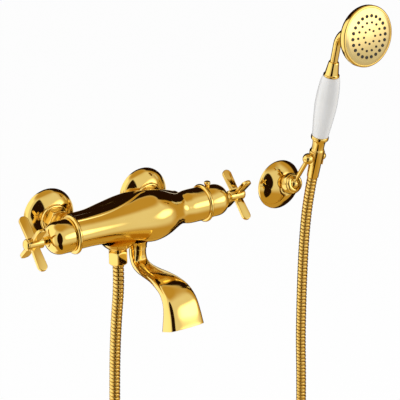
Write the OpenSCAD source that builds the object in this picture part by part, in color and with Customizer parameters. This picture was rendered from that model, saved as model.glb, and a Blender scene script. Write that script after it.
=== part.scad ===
// Wall-mounted thermostatic bath and shower mixer with a flared spout, a ribbed
// hose, a telephone-style hand shower and a ball-jointed wall bracket.
// The origin lies on the wall, midway between the two inlets. +X runs to the
// temperature handle and the bracket, -Y out into the room, +Z up.

/* [Mixer body] */
// Distance between the two wall inlets
inlet_spacing = 150; // [140:1:160]
// Distance from the wall to the axis of the handles
axis_out = 80; // [76:1:90]
// Distance from the wall to the axis of the rear water channel
channel_out = 60; // [57:1:64]
// Place of the left trim ring along the axis
ring_left_x = -83; // [-90:1:-82]
// Place of the right trim ring along the axis
ring_right_x = 123; // [121:1:130]
// Radius of the body beside the left ring
left_r = 21.5; // [20.5:0.25:22.5]
// Largest radius of the belly
belly_r = 35; // [32:0.5:38]
// Radius at the narrow neck right of the belly
neck_r = 16; // [15:0.25:18]
// Radius of the body beside the right ring
right_r = 23.4; // [22:0.2:25]
// Largest radius of the rear water channel
channel_r = 29.5; // [27:0.5:31]

/* [Rings, bonnets and handles] */
// Outer radius of a trim ring
ring_r = 26.7; // [25:0.1:28]
// Width of a trim ring along the axis
ring_w = 6; // [5:0.25:7]
// Outer radius of a bonnet
bonnet_r = 22.3; // [21.8:0.1:23.5]
// Reach of a bonnet beyond its ring
bonnet_l = 37; // [34:0.5:40]
// Wall of a bonnet
bonnet_wall = 2.2; // [1.6:0.1:2.4]
// Radius of a valve spindle
spindle_r = 4; // [3.5:0.1:4.5]
// Radius of a handle hub
hub_r = 8.1; // [7.6:0.1:10]
// Length of a handle hub
hub_l = 22; // [20:0.5:26]
// Tip to tip span of a cross handle
cross_span = 79; // [70:1:90]
// Width of a cross arm at its tip
arm_tip_w = 11; // [8:0.25:12]
// Thickness of a cross arm at its root
arm_t = 6.25; // [5:0.25:8]
// Height of the dome on a handle cap
cap_h = 4; // [2:0.25:6]
// Radius of the safety button's head
button_r = 4.4; // [4:0.1:5.5]
// Travel of the safety button
button_travel = 2.5; // [1:0.25:3]

/* [Wall connections] */
// Radius of an inlet rosette
rosette_r = 37.5; // [32:0.5:40]
// Depth of an inlet rosette from the wall
rosette_d = 20; // [18:0.5:20]
// Radius of the half inch wall thread
wall_thread_r = 10.48; // [9:0.01:12]
// Length of the wall thread
wall_thread_l = 18; // [12:0.5:25]
// Radius of the three quarter inch union thread
union_thread_r = 13; // [12.5:0.05:13.5]
// Width across the flats of a union nut
union_flats = 30; // [29:0.5:34]

/* [Spout and hose outlet] */
// Place of the spout along the axis
spout_x = 17; // [14:1:22]
// Depth of the spout's seat below the axis
spout_seat = 41; // [39:0.5:44]
// Wall of the spout
spout_wall = 2.2; // [1.6:0.1:2.6]
// Place of the hose outlet along the axis
outlet_x = -14; // [-20:1:-12]
// Depth of the hose outlet's seat below the axis
outlet_seat = 33.5; // [32:0.5:37]
// Width across the flats of the hose nut
hose_nut_flats = 22.5; // [21.5:0.25:25]
// Length of the hose nut
hose_nut_l = 22.5; // [19:0.5:24]

/* [Hose] */
// Outer radius of the hose over its ribs
hose_r = 7.75; // [7:0.05:8]
// Height of a rib
rib_h = 1.2; // [0.6:0.1:1.5]
// Radius of the hose's bore
hose_bore_r = 5; // [4:0.1:5.5]

/* [Wall bracket] */
// Distance of the bracket from the middle of the mixer
bracket_x = 315; // [300:1:330]
// Height of the bracket relative to the inlets
bracket_z = -36; // [-60:1:0]
// Upward tilt of the bracket's nose
nose_tilt = 18.5; // [15:0.5:22]
// Radius of the bracket's rosette
bracket_r = 37.5; // [34:0.5:40]
// Depth of the bracket's rosette
bracket_d = 17; // [15:0.5:18]
// Distance from the wall to the ball's centre along the nose
ball_out = 40.5; // [40:0.25:43]
// Radius of the ball
ball_r = 9; // [8.5:0.1:9.4]
// Radius of the rod
rod_r = 2.9; // [2.5:0.1:3]
// Radius of the pivot knob
knob_r = 8.2; // [7.4:0.1:8.6]

/* [Hand shower] */
// Distance across the wall from the bracket to the hand shower's axis
handset_side = 15; // [14:0.5:18]
// Lean of the hand shower away from the wall
handset_lean = 12.4; // [10:0.2:14]
// Length of the hose's cone nut
cone_l = 46; // [45:0.5:50]
// Radius of the cone nut at its hose end
cone_small_r = 8.6; // [8.2:0.1:8.8]
// Radius of the cone nut at its wide end
cone_big_r = 9.8; // [9.4:0.1:10]
// Length of the holder's sleeve
sleeve_l = 22; // [16:0.5:24]
// Outer radius of the holder's sleeve
sleeve_r = 11.3; // [11.2:0.1:12.2]
// Width of the slot that lets the hose out of the holder
slot_w = 16.4; // [15.8:0.1:17]
// Length of the ceramic handle
ceramic_l = 96; // [88:1:110]
// Largest radius of the ceramic handle
ceramic_r = 16.2; // [14.5:0.1:18]
// Radius of the neck tube
neck_tube_r = 5.6; // [5:0.1:6]
// Bend radius of the neck tube
neck_bend_r = 30; // [26:0.5:34]
// Radius of the shower head
head_r = 42.5; // [38:0.5:46]
// Depth of the shower head behind its face
head_d = 22; // [18:0.5:26]

/* [Hidden] */

$fn = 96;
gold = "goldenrod";
eps = 0.01;
// Clearance between fixed pieces, between running pieces and between pieces that pass
fit_gap = 0.05;
run_gap = 0.08;
pass_gap = 0.3;

// Points of a smooth curve through stations, with a number of steps between each two
function spline_at(p, i, t) =
    let (n = len(p) - 1, a = p[max(i - 1, 0)], b = p[i], c = p[min(i + 1, n)], d = p[min(i + 2, n)])
    0.5 * (2 * b + (c - a) * t + (2 * a - 5 * b + 4 * c - d) * t * t
        + (3 * b - a - 3 * c + d) * t * t * t);
function spline(p, steps) =
    concat([for (i = [0 : len(p) - 2], k = [0 : steps - 1]) spline_at(p, i, k / steps)],
        [p[len(p) - 1]]);

// Quarter of an ellipse from one corner to the other, leaving the first along the second axis
function quarter(from, to, steps = 12) =
    [for (k = [1 : steps]) let (a = 90 * k / steps)
        [to[0] + (from[0] - to[0]) * cos(a), from[1] + (to[1] - from[1]) * sin(a)]];
// The same quarter, leaving the first corner along the first axis
function hollow_quarter(from, to, steps = 12) =
    [for (k = [1 : steps]) let (a = 90 * k / steps)
        [from[0] + (to[0] - from[0]) * sin(a), to[1] + (from[1] - to[1]) * cos(a)]];

// Frames along the handle axis: outward from the left ring, outward from the right ring
module from_left_ring() { translate([ring_left_x, -axis_out, 0]) rotate([0, -90, 0]) children(); }
module from_right_ring() { translate([ring_right_x, -axis_out, 0]) rotate([0, 90, 0]) children(); }
// Frame of an inlet: outward from the wall along -Y
module from_wall(x, z = 0) { translate([x, 0, z]) rotate([90, 0, 0]) children(); }
left_x = -inlet_spacing / 2;
right_x = inlet_spacing / 2;

// Mixer body

body_start = ring_left_x + ring_w / 2;
body_end = ring_right_x - ring_w / 2;
neck_x = body_end - 31;
shoulder_l = 16;
belly_x = 35;
belly_stations = [[left_r, body_start], [left_r - 0.1, body_start + 20], [left_r + 1.1, belly_x - 73],
    [belly_r - 9.8, belly_x - 50], [belly_r - 6, belly_x - 30], [belly_r - 2, belly_x - 15],
    [belly_r, belly_x], [belly_r - 1.4, belly_x + 13], [belly_r - 4.4, neck_x - 29],
    [belly_r - 9.4, neck_x - 16], [neck_r + 3, neck_x - 5], [neck_r, neck_x]];
channel_start = left_x - 15;
channel_end = right_x + 27;
channel_left_r = 19.5;
channel_right_r = 18;
channel_stations = [[channel_left_r, left_x], [channel_left_r + 0.5, left_x + 25],
    [channel_r - 5.5, left_x + 49], [channel_r - 1.3, 0], [channel_r, 22],
    [channel_r - 2.3, right_x - 25], [channel_right_r + 4.6, right_x], [channel_right_r, right_x + 15]];
spigot_r = 19.5;
spigot_out = 4;
chamber_r = 17.2;
flow_bore_r = 14;
flow_bore_in = 45;
thermo_head_in = 22;
thermo_bore_r = 11;
thermo_bore_in = 76;
gallery_r = 8;
boss_face = 34;
boss_r = 15.5;
tail_thread_r = 11;
tail_seat = 10;
spout_boss_r = 12.6;
spout_bore_r = 8;
outlet_boss_r = 12;
outlet_flare_r = 17;
outlet_flare_z = 22;

module water_channel() {
    translate([0, -channel_out, 0]) rotate([0, 90, 0]) rotate_extrude()
        polygon(concat([[0, channel_start]],
            hollow_quarter([0, channel_start], [channel_left_r, left_x], 8), spline(channel_stations, 5),
            quarter([channel_right_r, right_x + 15], [0, channel_end], 8)));
    for (x = [left_x, right_x])
        from_wall(x) translate([0, 0, boss_face]) cylinder(r = boss_r, h = channel_out - boss_face);
}
// Round seat for a trim ring at an end of the body
module ring_spigot() {
    translate([0, 0, -ring_w / 2 - eps]) cylinder(r = spigot_r, h = ring_w / 2 + spigot_out);
}
module body_outside() {
    translate([0, -axis_out, 0]) rotate([0, 90, 0]) rotate_extrude()
        polygon(concat([[0, body_start]], spline(belly_stations, 5),
            hollow_quarter([neck_r, neck_x], [right_r, neck_x + shoulder_l], 10),
            [[right_r, body_end], [0, body_end]]));
    difference() {
        water_channel();
        // Room for the left ring and bonnet beside the channel
        from_left_ring() translate([0, 0, -ring_w / 2]) cylinder(r = ring_r + pass_gap, h = bonnet_l);
    }
    from_left_ring() ring_spigot();
    from_right_ring() ring_spigot();
    translate([spout_x, -axis_out, -spout_seat]) cylinder(r = spout_boss_r, h = spout_seat);
    translate([outlet_x, -axis_out, -outlet_seat]) cylinder(r = outlet_boss_r, h = outlet_seat);
    translate([outlet_x, -axis_out, -outlet_seat + 1.5])
        cylinder(r1 = outlet_boss_r, r2 = outlet_flare_r, h = outlet_seat - 1.5 - outlet_flare_z);
}

// Hollow of the belly between the two valves, and of the channel between the two inlets
casting_wall = 5;
module body_hollow() {
    translate([0, -axis_out, 0]) rotate([0, 90, 0]) rotate_extrude() polygon(concat([[0, belly_x - 73]],
        [for (k = [2 : 8]) [belly_stations[k][0] - casting_wall, belly_stations[k][1]]], [[0, neck_x - 29]]));
    translate([left_x, -channel_out, 0]) rotate([0, 90, 0])
        cylinder(r = channel_right_r - casting_wall - 1, h = inlet_spacing);
}

module mixer_body() {
    color(gold) difference() {
        body_outside();
        body_hollow();
        from_left_ring() {
            translate([0, 0, -ring_w / 2 + 1]) cylinder(r = chamber_r, h = ring_w + spigot_out);
            translate([0, 0, -flow_bore_in]) cylinder(r = flow_bore_r, h = flow_bore_in);
        }
        from_right_ring() {
            translate([0, 0, -thermo_head_in])
                cylinder(r = chamber_r, h = thermo_head_in + ring_w + spigot_out);
            translate([0, 0, -thermo_bore_in]) cylinder(r = thermo_bore_r, h = thermo_bore_in);
        }
        translate([ring_left_x, -axis_out, 0]) rotate([0, 90, 0])
            cylinder(r = gallery_r, h = ring_right_x - ring_left_x);
        for (x = [left_x, right_x]) from_wall(x) {
            translate([0, 0, boss_face - eps]) cylinder(r = gallery_r, h = axis_out - boss_face);
            translate([0, 0, boss_face - eps]) cylinder(r = tail_thread_r, h = tail_seat);
        }
        translate([spout_x, -axis_out, -spout_seat - eps]) cylinder(r = spout_bore_r, h = spout_seat);
        translate([outlet_x, -axis_out, -outlet_seat - eps]) cylinder(r = gallery_r, h = outlet_seat);
    }
}

// Trim rings, and the bonnets that turn with the handles

module trim_ring() {
    bead = ring_w / 2;
    color(gold) rotate_extrude() {
        translate([ring_r - bead, 0]) circle(r = bead);
        translate([spigot_r + fit_gap, -bead]) square([ring_r - bead - spigot_r - fit_gap, ring_w]);
    }
}

bonnet_dome = 17;
bonnet_nose_r = 7;
bonnet_bore_r = spindle_r + pass_gap;
button_out = 8;
button_stem_r = button_r - 1;

module bonnet_shell() {
    straight = bonnet_l - bonnet_dome;
    inner_r = bonnet_r - bonnet_wall;
    skirt = ring_w / 2 + pass_gap;
    rotate_extrude() polygon(concat(
        [[inner_r, skirt], [bonnet_r, skirt], [bonnet_r, straight]],
        quarter([bonnet_r, straight], [bonnet_nose_r, bonnet_l]),
        [[bonnet_bore_r, bonnet_l], [bonnet_bore_r, bonnet_l - 2 * bonnet_wall]],
        [for (k = [11 : -1 : 0]) let (a = 90 * k / 12, top = bonnet_l - 2 * bonnet_wall)
            [bonnet_bore_r + (inner_r - bonnet_bore_r) * cos(a), straight + (top - straight) * sin(a)]]));
}
module bonnet(button) {
    color(gold) difference() {
        bonnet_shell();
        // Hole for the safety button, which points up on the right hand bonnet
        if (button) translate([0, 0, button_out]) rotate([0, -90, 0])
            cylinder(r = button_stem_r + run_gap, h = 2 * bonnet_r);
    }
}

button_head_z = bonnet_r + button_travel + 1;
button_head_h = 5;
button_stem_in = 6;
module safety_button() {
    color(gold) translate([ring_right_x + button_out, -axis_out, 0]) rotate_extrude()
        polygon(concat([[0, bonnet_r - button_stem_in], [button_stem_r, bonnet_r - button_stem_in],
            [button_stem_r, button_head_z], [button_r, button_head_z],
            [button_r, button_head_z + button_head_h - 2]],
            quarter([button_r, button_head_z + button_head_h - 2], [0, button_head_z + button_head_h], 6)));
}

// Valves: a cartridge seated in each end of the body, and the spindle that turns in it

flange_in = ring_w / 2 - 1;
headwork_r = 9;
headwork_out = 20;
spindle_in = 20;
module cartridge_core(profile) {
    color("peru") rotate_extrude() polygon(profile);
}
module flow_cartridge() {
    b = spindle_r + run_gap;
    from_left_ring() cartridge_core([[b, -flow_bore_in + 5], [flow_bore_r - fit_gap, -flow_bore_in + 5],
        [flow_bore_r - fit_gap, -flange_in], [chamber_r - fit_gap, -flange_in],
        [chamber_r - fit_gap, spigot_out],
        [headwork_r, spigot_out], [headwork_r, headwork_out], [b, headwork_out]]);
}
module thermostatic_cartridge() {
    b = spindle_r + run_gap;
    neck = thermo_bore_r - fit_gap;
    from_right_ring() cartridge_core([[0, -thermo_bore_in + 6], [neck - 2, -thermo_bore_in + 6],
        [neck, -thermo_bore_in + 8], [neck, -60], [neck - 2, -58], [neck - 2, -52], [neck, -50],
        [neck, -thermo_head_in], [chamber_r - fit_gap, -thermo_head_in], [chamber_r - fit_gap, spigot_out],
        [headwork_r, spigot_out], [headwork_r, headwork_out], [b, headwork_out], [b, -spindle_in - 1],
        [0, -spindle_in - 1]]);
}

hub_start = bonnet_l + 7;
hub_end = hub_start + hub_l;
hub_tail_r = 5.5;
spindle_top = hub_end - 6;
cap_stem_r = 5.9;
cap_stem_l = 3;
module spindle() {
    color("silver") translate([0, 0, -spindle_in]) cylinder(r = spindle_r, h = spindle_in + spindle_top);
}

// Cross handle: a turned hub with four blades that stand edge on and widen to round tips

arm_root_w = 8.6;
arm_plane = hub_start + 13.5;
module cross_arm() {
    reach = cross_span / 2 - arm_tip_w / 2;
    intersection() {
        translate([0, 0, -arm_t / 2]) linear_extrude(arm_t) union() {
            polygon([[0, -arm_root_w / 2], [reach, -arm_tip_w / 2],
                [reach, arm_tip_w / 2], [0, arm_root_w / 2]]);
            translate([reach, 0]) circle(r = arm_tip_w / 2);
        }
        // The arm thins towards its tip
        rotate([90, 0, 0]) translate([0, 0, -arm_tip_w]) linear_extrude(2 * arm_tip_w)
            polygon([[0, -arm_t / 2], [cross_span, -arm_t / 4], [cross_span, arm_t / 4], [0, arm_t / 2]]);
    }
}
module cross_handle() {
    color(gold) difference() {
        union() {
            rotate_extrude() polygon([[0, bonnet_l], [hub_tail_r, bonnet_l],
                [hub_tail_r, hub_start - 1], [hub_r - 1, hub_start], [hub_r, hub_start + 1],
                [hub_r, hub_end - 0.8], [hub_r - 0.8, hub_end], [0, hub_end]]);
            for (a = [45 : 90 : 315]) rotate([0, 0, a]) translate([0, 0, arm_plane]) rotate([90, 0, 0])
                cross_arm();
        }
        translate([0, 0, bonnet_l - 1])
            cylinder(r = spindle_r + fit_gap, h = spindle_top - bonnet_l + 1 + fit_gap);
        translate([0, 0, hub_end - cap_stem_l - fit_gap])
            cylinder(r = cap_stem_r + fit_gap, h = cap_stem_l + 1);
    }
}
module handle_cap() {
    color(gold) rotate_extrude() polygon(concat(
        [[0, hub_end - cap_stem_l], [cap_stem_r, hub_end - cap_stem_l],
        [cap_stem_r, hub_end], [hub_r - 0.4, hub_end]],
        quarter([hub_r - 0.4, hub_end], [0, hub_end + cap_h], 10)));
}

// Wall connections: union, rosette, nut, washer and the tail screwed into the body

union_bore_r = 7.5;
union_end = 23;
washer_t = 2;
tail_face = union_end + washer_t;
tail_flange_t = 2.5;
tail_flange_r = 12.4;
tail_r = 10.4;
tail_bore_r = 7.5;
rosette_wall = 1.8;
rosette_lip_r = 20;
rosette_edge = 2.5;
union_nut_start = rosette_d + 0.4;
module wall_union() {
    hex_r = 12 / cos(30);
    color("darkgoldenrod") difference() {
        union() {
            translate([0, 0, -wall_thread_l]) cylinder(r = wall_thread_r, h = wall_thread_l + 4 + eps);
            translate([0, 0, 4]) cylinder(r = hex_r, h = 7, $fn = 6);
            translate([0, 0, 11 - eps]) cylinder(r = union_thread_r, h = union_end - 11 + eps);
        }
        translate([0, 0, -wall_thread_l - 1]) cylinder(r = union_bore_r, h = wall_thread_l + union_end + 2);
    }
}
module inlet_rosette() {
    top = rosette_d - 3 - rosette_wall;
    in_r = rosette_lip_r - 3;
    out_r = rosette_r - rosette_wall;
    color(gold) rotate_extrude() polygon(concat(
        [[rosette_r - rosette_wall, 0], [rosette_r, 0], [rosette_r, rosette_edge]],
        quarter([rosette_r, rosette_edge], [rosette_lip_r, rosette_d - 3]),
        [[rosette_lip_r - 1.2, rosette_d - 3], [rosette_lip_r - 1.2, rosette_d],
            [union_thread_r + pass_gap, rosette_d],
            [union_thread_r + pass_gap, top]],
        [for (k = [11 : -1 : 0]) let (a = 90 * k / 12)
            [in_r + (out_r - in_r) * cos(a), rosette_edge + (top - rosette_edge) * sin(a)]]));
}
module union_nut() {
    corner_r = union_flats / 2 / cos(30);
    l = boss_face - 0.4 - union_nut_start;
    lip = tail_face + tail_flange_t;
    color(gold) difference() {
        intersection() {
            translate([0, 0, union_nut_start]) cylinder(r = corner_r, h = l, $fn = 6);
            rotate_extrude() polygon([[0, union_nut_start], [union_flats / 2, union_nut_start],
                [corner_r, union_nut_start + 1.3], [corner_r, union_nut_start + l - 1.3],
                [union_flats / 2, union_nut_start + l], [0, union_nut_start + l]]);
        }
        translate([0, 0, union_nut_start - 1])
            cylinder(r = union_thread_r + fit_gap, h = lip + fit_gap - union_nut_start + 1);
        cylinder(r = tail_r + pass_gap, h = boss_face);
    }
}
module union_washer() {
    color("dimgray") translate([0, 0, union_end]) difference() {
        cylinder(r = tail_flange_r, h = washer_t);
        translate([0, 0, -1]) cylinder(r = tail_bore_r, h = washer_t + 2);
    }
}
module inlet_tail() {
    end = boss_face + tail_seat - 0.5;
    color("darkgoldenrod") rotate_extrude() polygon([[tail_bore_r, tail_face], [tail_flange_r, tail_face],
        [tail_flange_r, tail_face + tail_flange_t], [tail_r, tail_face + tail_flange_t], [tail_r, boss_face],
        [tail_thread_r - fit_gap, boss_face], [tail_thread_r - fit_gap, end], [tail_bore_r, end]]);
}

// Spout: rounded sections carried along a spine that drops, runs forward and turns down,
// widening to the mouth

// Each station gives the spine's place out from the axis and down from the seat, then width and thickness
spout_stations = [[0, 0, 23, 23], [0, 11, 22.5, 22], [5, 21, 23, 18], [17, 26, 25, 14], [35, 27, 28.5, 12],
    [55, 26.5, 33, 12], [73, 27, 38, 13], [90, 31, 42.5, 15], [102, 41, 46.5, 18.5], [108, 55, 49.5, 23],
    [111, 76, 54, 28]];
spout_steps = 3;
spout_sides = 28;
mouth_rise = 7;
spout_curve = spline(spout_stations, spout_steps);
spout_rings = len(spout_curve);
// The section goes from round at the seat to nearly square at the mouth
function section_power(k) = 1 - 0.62 * pow(k / (spout_rings - 1), 0.7);
function signed_power(v, p) = sign(v) * pow(abs(v), p);
function spout_ring(k, wall) =
    let (s = spout_curve[k], before = spout_curve[max(k - 1, 0)],
        after = spout_curve[min(k + 1, spout_rings - 1)],
        step = k == 0 ? [0, 1] : [after[0] - before[0], after[1] - before[1]], run = step / norm(step),
        p = section_power(k), w = s[2] / 2 - wall, t = s[3] / 2 - wall,
        lift = mouth_rise * max(0, (k - spout_rings + 4) / 3) / s[3])
    [for (j = [0 : spout_sides - 1]) let (a = 360 * j / spout_sides,
        x = w * signed_power(cos(a), p), f = t * signed_power(sin(a), p))
        [spout_x + x, -axis_out - s[0] - f * run[1], -spout_seat - s[1] + f * run[0] + f * lift * run[1]]];
function ring_band(a, b, n, flip) =
    [for (j = [0 : n - 1]) let (i = (j + 1) % n)
        each flip ? [[a + j, b + i, a + i], [a + j, b + j, b + i]]
            : [[a + j, a + i, b + i], [a + j, b + i, b + j]]];
// A tube with an outer skin of some rings, an inner skin of others, and flat ends
module skin_tube(outer, inner) {
    n = len(outer[0]);
    o = len(outer);
    m = len(inner);
    first_in = o * n;
    polyhedron([for (r = outer) each r, for (r = inner) each r], concat(
        [for (k = [0 : o - 2]) each ring_band(k * n, (k + 1) * n, n, false)],
        [for (k = [0 : m - 2]) each ring_band(first_in + k * n, first_in + (k + 1) * n, n, true)],
        ring_band(0, first_in, n, true), ring_band((o - 1) * n, first_in + (m - 1) * n, n, false)));
}
module spout() {
    color(gold) skin_tube([for (k = [0 : spout_rings - 1]) spout_ring(k, 0)],
        [for (k = [0 : spout_rings - 1]) spout_ring(k, spout_wall)]);
}
nipple_in = 13;
nipple_out = 8;
module spout_nipple() {
    color("darkgoldenrod") translate([spout_x, -axis_out, -spout_seat - nipple_out]) difference() {
        cylinder(r = spout_bore_r - fit_gap, h = nipple_in + nipple_out);
        translate([0, 0, -1]) cylinder(r = spout_bore_r - 2, h = nipple_in + nipple_out + 2);
    }
}

// Hose outlet

outlet_collar_h = 2.5;
hose_thread_r = 10.4;
hose_thread_l = 11;
hose_nut_top = outlet_seat + outlet_collar_h + 0.3;
hose_top = hose_nut_top + hose_nut_l;
module hose_nipple() {
    color(gold) translate([outlet_x, -axis_out, 0]) rotate_extrude() polygon([
        [6, -outlet_seat + 10], [gallery_r - fit_gap, -outlet_seat + 10], [gallery_r - fit_gap, -outlet_seat],
        [outlet_boss_r - 1.5, -outlet_seat], [outlet_boss_r - 1.5, -outlet_seat - outlet_collar_h],
        [hose_thread_r, -outlet_seat - outlet_collar_h], [hose_thread_r, -hose_nut_top - hose_thread_l],
        [6, -hose_nut_top - hose_thread_l]]);
}
module hose_hex_nut() {
    corner_r = hose_nut_flats / 2 / cos(30);
    round = 3.2;
    color(gold) translate([outlet_x, -axis_out, -hose_top]) difference() {
        intersection() {
            cylinder(r = corner_r, h = hose_nut_l, $fn = 6);
            rotate_extrude() polygon(concat([[0, 0], [hose_nut_flats / 2 - 1.2, 0]],
                hollow_quarter([hose_nut_flats / 2 - 1.2, 0], [corner_r, round], 5),
                quarter([corner_r, hose_nut_l - round], [hose_nut_flats / 2 - 1.2, hose_nut_l], 5),
                [[0, hose_nut_l]]));
        }
        translate([0, 0, -1]) cylinder(r = hose_bore_r + 1, h = hose_nut_l + 2);
        translate([0, 0, hose_nut_l - hose_thread_l - 0.5])
            cylinder(r = hose_thread_r + fit_gap, h = hose_thread_l + 1);
    }
}

// Frame of the hand shower: its axis starts where the hose enters the cone nut
handset_x = bracket_x + handset_side;
cone_y = -62.9;
cone_z = -8.1;
module in_handset() { translate([handset_x, cone_y, cone_z]) rotate([handset_lean, 0, 0]) children(); }
function handset_point(y, z) = [handset_x, cone_y + y * cos(handset_lean) - z * sin(handset_lean),
    cone_z + y * sin(handset_lean) + z * cos(handset_lean)];

// Hose: from the nut it hangs in one loop and rises to the cone nut

// How far a part of the loop lies on the way across, from the outlet to the hand shower
function across(f) = outlet_x + f * (handset_x - outlet_x);
hose_route = concat(
    [[outlet_x, -axis_out, -hose_top], [outlet_x, -axis_out, -hose_top - 21]],
    [for (p = [[-78, -105], [-72, -145], [-67, -190], [-64, -235], [-62, -285], [-61, -340],
        [-60, -400], [-60, -460]]) [outlet_x, p[0], p[1]]],
    [for (p = [[0.003, -59, -515], [0.04, -58, -581], [0.145, -58, -637], [0.308, -57, -673],
        [0.5, -56, -686], [0.692, -55, -673], [0.855, -54, -637], [0.96, -53, -581],
        [0.997, -52, -515]]) [across(p[0]), p[1], p[2]]],
    [for (p = [[-51, -460], [-51, -400], [-49, -340], [-46, -285], [-45, -235], [-45, -190],
        [-46, -145], [-48, -105], [-52, -65]]) [handset_x, p[0], p[1]]],
    [handset_point(0, -20), handset_point(0, 0)]);
route_steps = 16;
route = spline(hose_route, route_steps);
route_run = [for (i = 0, s = 0; i < len(route);
    s = s + (i + 1 < len(route) ? norm(route[i + 1] - route[i]) : 0),
    i = i + 1) s];
hose_l = route_run[len(route) - 1];
route_x = [for (i = [0 : len(route) - 1]) [route_run[i], route[i][0]]];
route_y = [for (i = [0 : len(route) - 1]) [route_run[i], route[i][1]]];
route_z = [for (i = [0 : len(route) - 1]) [route_run[i], route[i][2]]];
function hose_at(s) = [lookup(s, route_x), lookup(s, route_y), lookup(s, route_z)];
function unit(v) = v / norm(v);
function hose_dir(s) = s < 2 ? [0, 0, -1] : s > hose_l - 2 ? unit(handset_point(0, 1) - handset_point(0, 0))
    : unit(hose_at(s + 2) - hose_at(s - 2));
hose_sides = 8;
function hose_ring(s, r) =
    let (d = hose_dir(s), u = unit(cross(d, [0, 1, 0])), v = cross(d, u), c = hose_at(s))
    [for (j = [0 : hose_sides - 1]) let (a = 360 * j / hose_sides) c + r * (cos(a) * u + sin(a) * v)];
rib_count = 196;
rib_pitch = (hose_l - 4 * hose_r) / rib_count;
rib_start = 2 * hose_r;
bore_step = 4;
echo(hose_length = hose_l, rib_pitch = rib_pitch);

// One stretch of the hose, from one rib to another; the first and last stretch also have a plain end
module hose_stretch(from_rib, to_rib) {
    plain_in = from_rib == 0 ? [hose_ring(0, hose_r - rib_h / 2)] : [];
    plain_out = to_rib == rib_count ? [hose_ring(hose_l, hose_r - rib_h / 2)] : [];
    ribs = [for (k = [from_rib : to_rib - 1]) each [hose_ring(rib_start + k * rib_pitch, hose_r - rib_h),
        hose_ring(rib_start + (k + 0.5) * rib_pitch, hose_r)]];
    last = [hose_ring(rib_start + to_rib * rib_pitch, hose_r - rib_h)];
    bore = [for (k = [from_rib : bore_step : to_rib]) hose_ring(rib_start + k * rib_pitch, hose_bore_r)];
    bore_in = from_rib == 0 ? [hose_ring(0, hose_bore_r)] : [];
    bore_out = to_rib == rib_count ? [hose_ring(hose_l, hose_bore_r)] : [];
    color("darkgoldenrod")
        skin_tube(concat(plain_in, ribs, last, plain_out), concat(bore_in, bore, bore_out));
}
// Ribs at which one stretch hands over to the next
stretch_ribs = [0, 132, 168, 184, rib_count];

// Wall bracket: a base on the wall, a bell rosette over it, and a tilted cup that holds the ball

module on_nose() { translate([bracket_x, 0, bracket_z]) rotate([90 - nose_tilt, 0, 0]) children(); }
nose_dir = [0, -cos(nose_tilt), sin(nose_tilt)];
bracket_wall = 2;
bracket_edge = 2.5;
bracket_crown_r = 12;
base_r = 14;
base_d = 8;
base_screw_r = 3.4;
base_screw_l = 7;
nose_seat = 10.5;
spigot_base_r = 5;
function bell(shrink) =
    let (rim = bracket_r - shrink, top = bracket_d - shrink,
        mid_r = (bracket_r + bracket_crown_r) / 2 - shrink * 0.7,
        mid_d = bracket_edge + (bracket_d - bracket_edge) * 0.66 - shrink * 0.7)
    concat([[rim, 0], [rim, bracket_edge]], quarter([rim, bracket_edge], [mid_r, mid_d], 8),
        [for (k = [1 : 8]) let (a = 90 * k / 8) [mid_r + (bracket_crown_r - mid_r) * sin(a),
            mid_d + (top - mid_d) * (1 - cos(a) * 1)]]);
module bell_solid() { rotate_extrude() polygon(concat([[0, 0]], bell(0), [[0, bracket_d]])); }
module bracket_rosette() {
    color(gold) difference() {
        from_wall(bracket_x, bracket_z) rotate_extrude()
            polygon(concat(bell(0),
                [[spigot_base_r + 2.5, bracket_d], [spigot_base_r + 2.5, bracket_d - bracket_wall]],
                [for (k = [len(bell(bracket_wall)) - 1 : -1 : 0]) bell(bracket_wall)[k]]));
        on_nose() cylinder(r = spigot_base_r + fit_gap + 1.5, h = 2 * bracket_d);
    }
}
module bracket_base() {
    color("darkgoldenrod") difference() {
        from_wall(bracket_x, bracket_z) {
            cylinder(r = bracket_r - 2 * bracket_wall - 4, h = 3);
            cylinder(r = base_r, h = base_d);
            cylinder(r = base_r - 4, h = bracket_d - bracket_wall - 2);
        }
        from_wall(bracket_x, bracket_z) translate([0, 0, -1])
            cylinder(r = base_screw_r, h = base_screw_l + 1);
        on_nose() translate([0, 0, nose_seat]) cylinder(r = spigot_base_r + fit_gap, h = 2 * bracket_d);
    }
}
cup_neck_r = 9.6;
cup_bell_r = 16;
cup_bell_out = ball_out - 7.5;
cup_end = ball_out;
cup_end_r = 13.6;
groove = 1.2;
ball_gap = pass_gap;
seat_r = 7.6;
seat_t = 5;
module bracket_cup() {
    neck_end = cup_bell_out - 8;
    color(gold) difference() {
        on_nose() rotate_extrude()
            polygon(concat([[0, 6], [cup_neck_r, 6], [cup_neck_r, neck_end - 5],
                [cup_neck_r - groove, neck_end - 4.6], [cup_neck_r - groove, neck_end - 3.8],
                [cup_neck_r, neck_end - 3.4],
                [cup_neck_r, neck_end - 2.2], [cup_neck_r - groove, neck_end - 1.8],
                [cup_neck_r - groove, neck_end - 1],
                [cup_neck_r, neck_end - 0.6], [cup_neck_r, neck_end]],
                hollow_quarter([cup_neck_r, neck_end], [cup_bell_r, cup_bell_out - 1], 10),
                [[cup_bell_r, cup_bell_out]], quarter([cup_bell_r, cup_bell_out], [cup_end_r, cup_end], 8),
                [[0, cup_end]]));
        from_wall(bracket_x, bracket_z) bell_solid();
        on_nose() {
            translate([0, 0, ball_out]) sphere(r = ball_r + ball_gap);
            translate([0, 0, ball_out - ball_r - seat_t + 2]) cylinder(r = seat_r + fit_gap, h = seat_t);
        }
    }
    // Spigot that passes through the rosette and screws into the base
    color(gold) on_nose() translate([0, 0, nose_seat + fit_gap])
        cylinder(r = spigot_base_r, h = bracket_d - 7);
}
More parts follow.
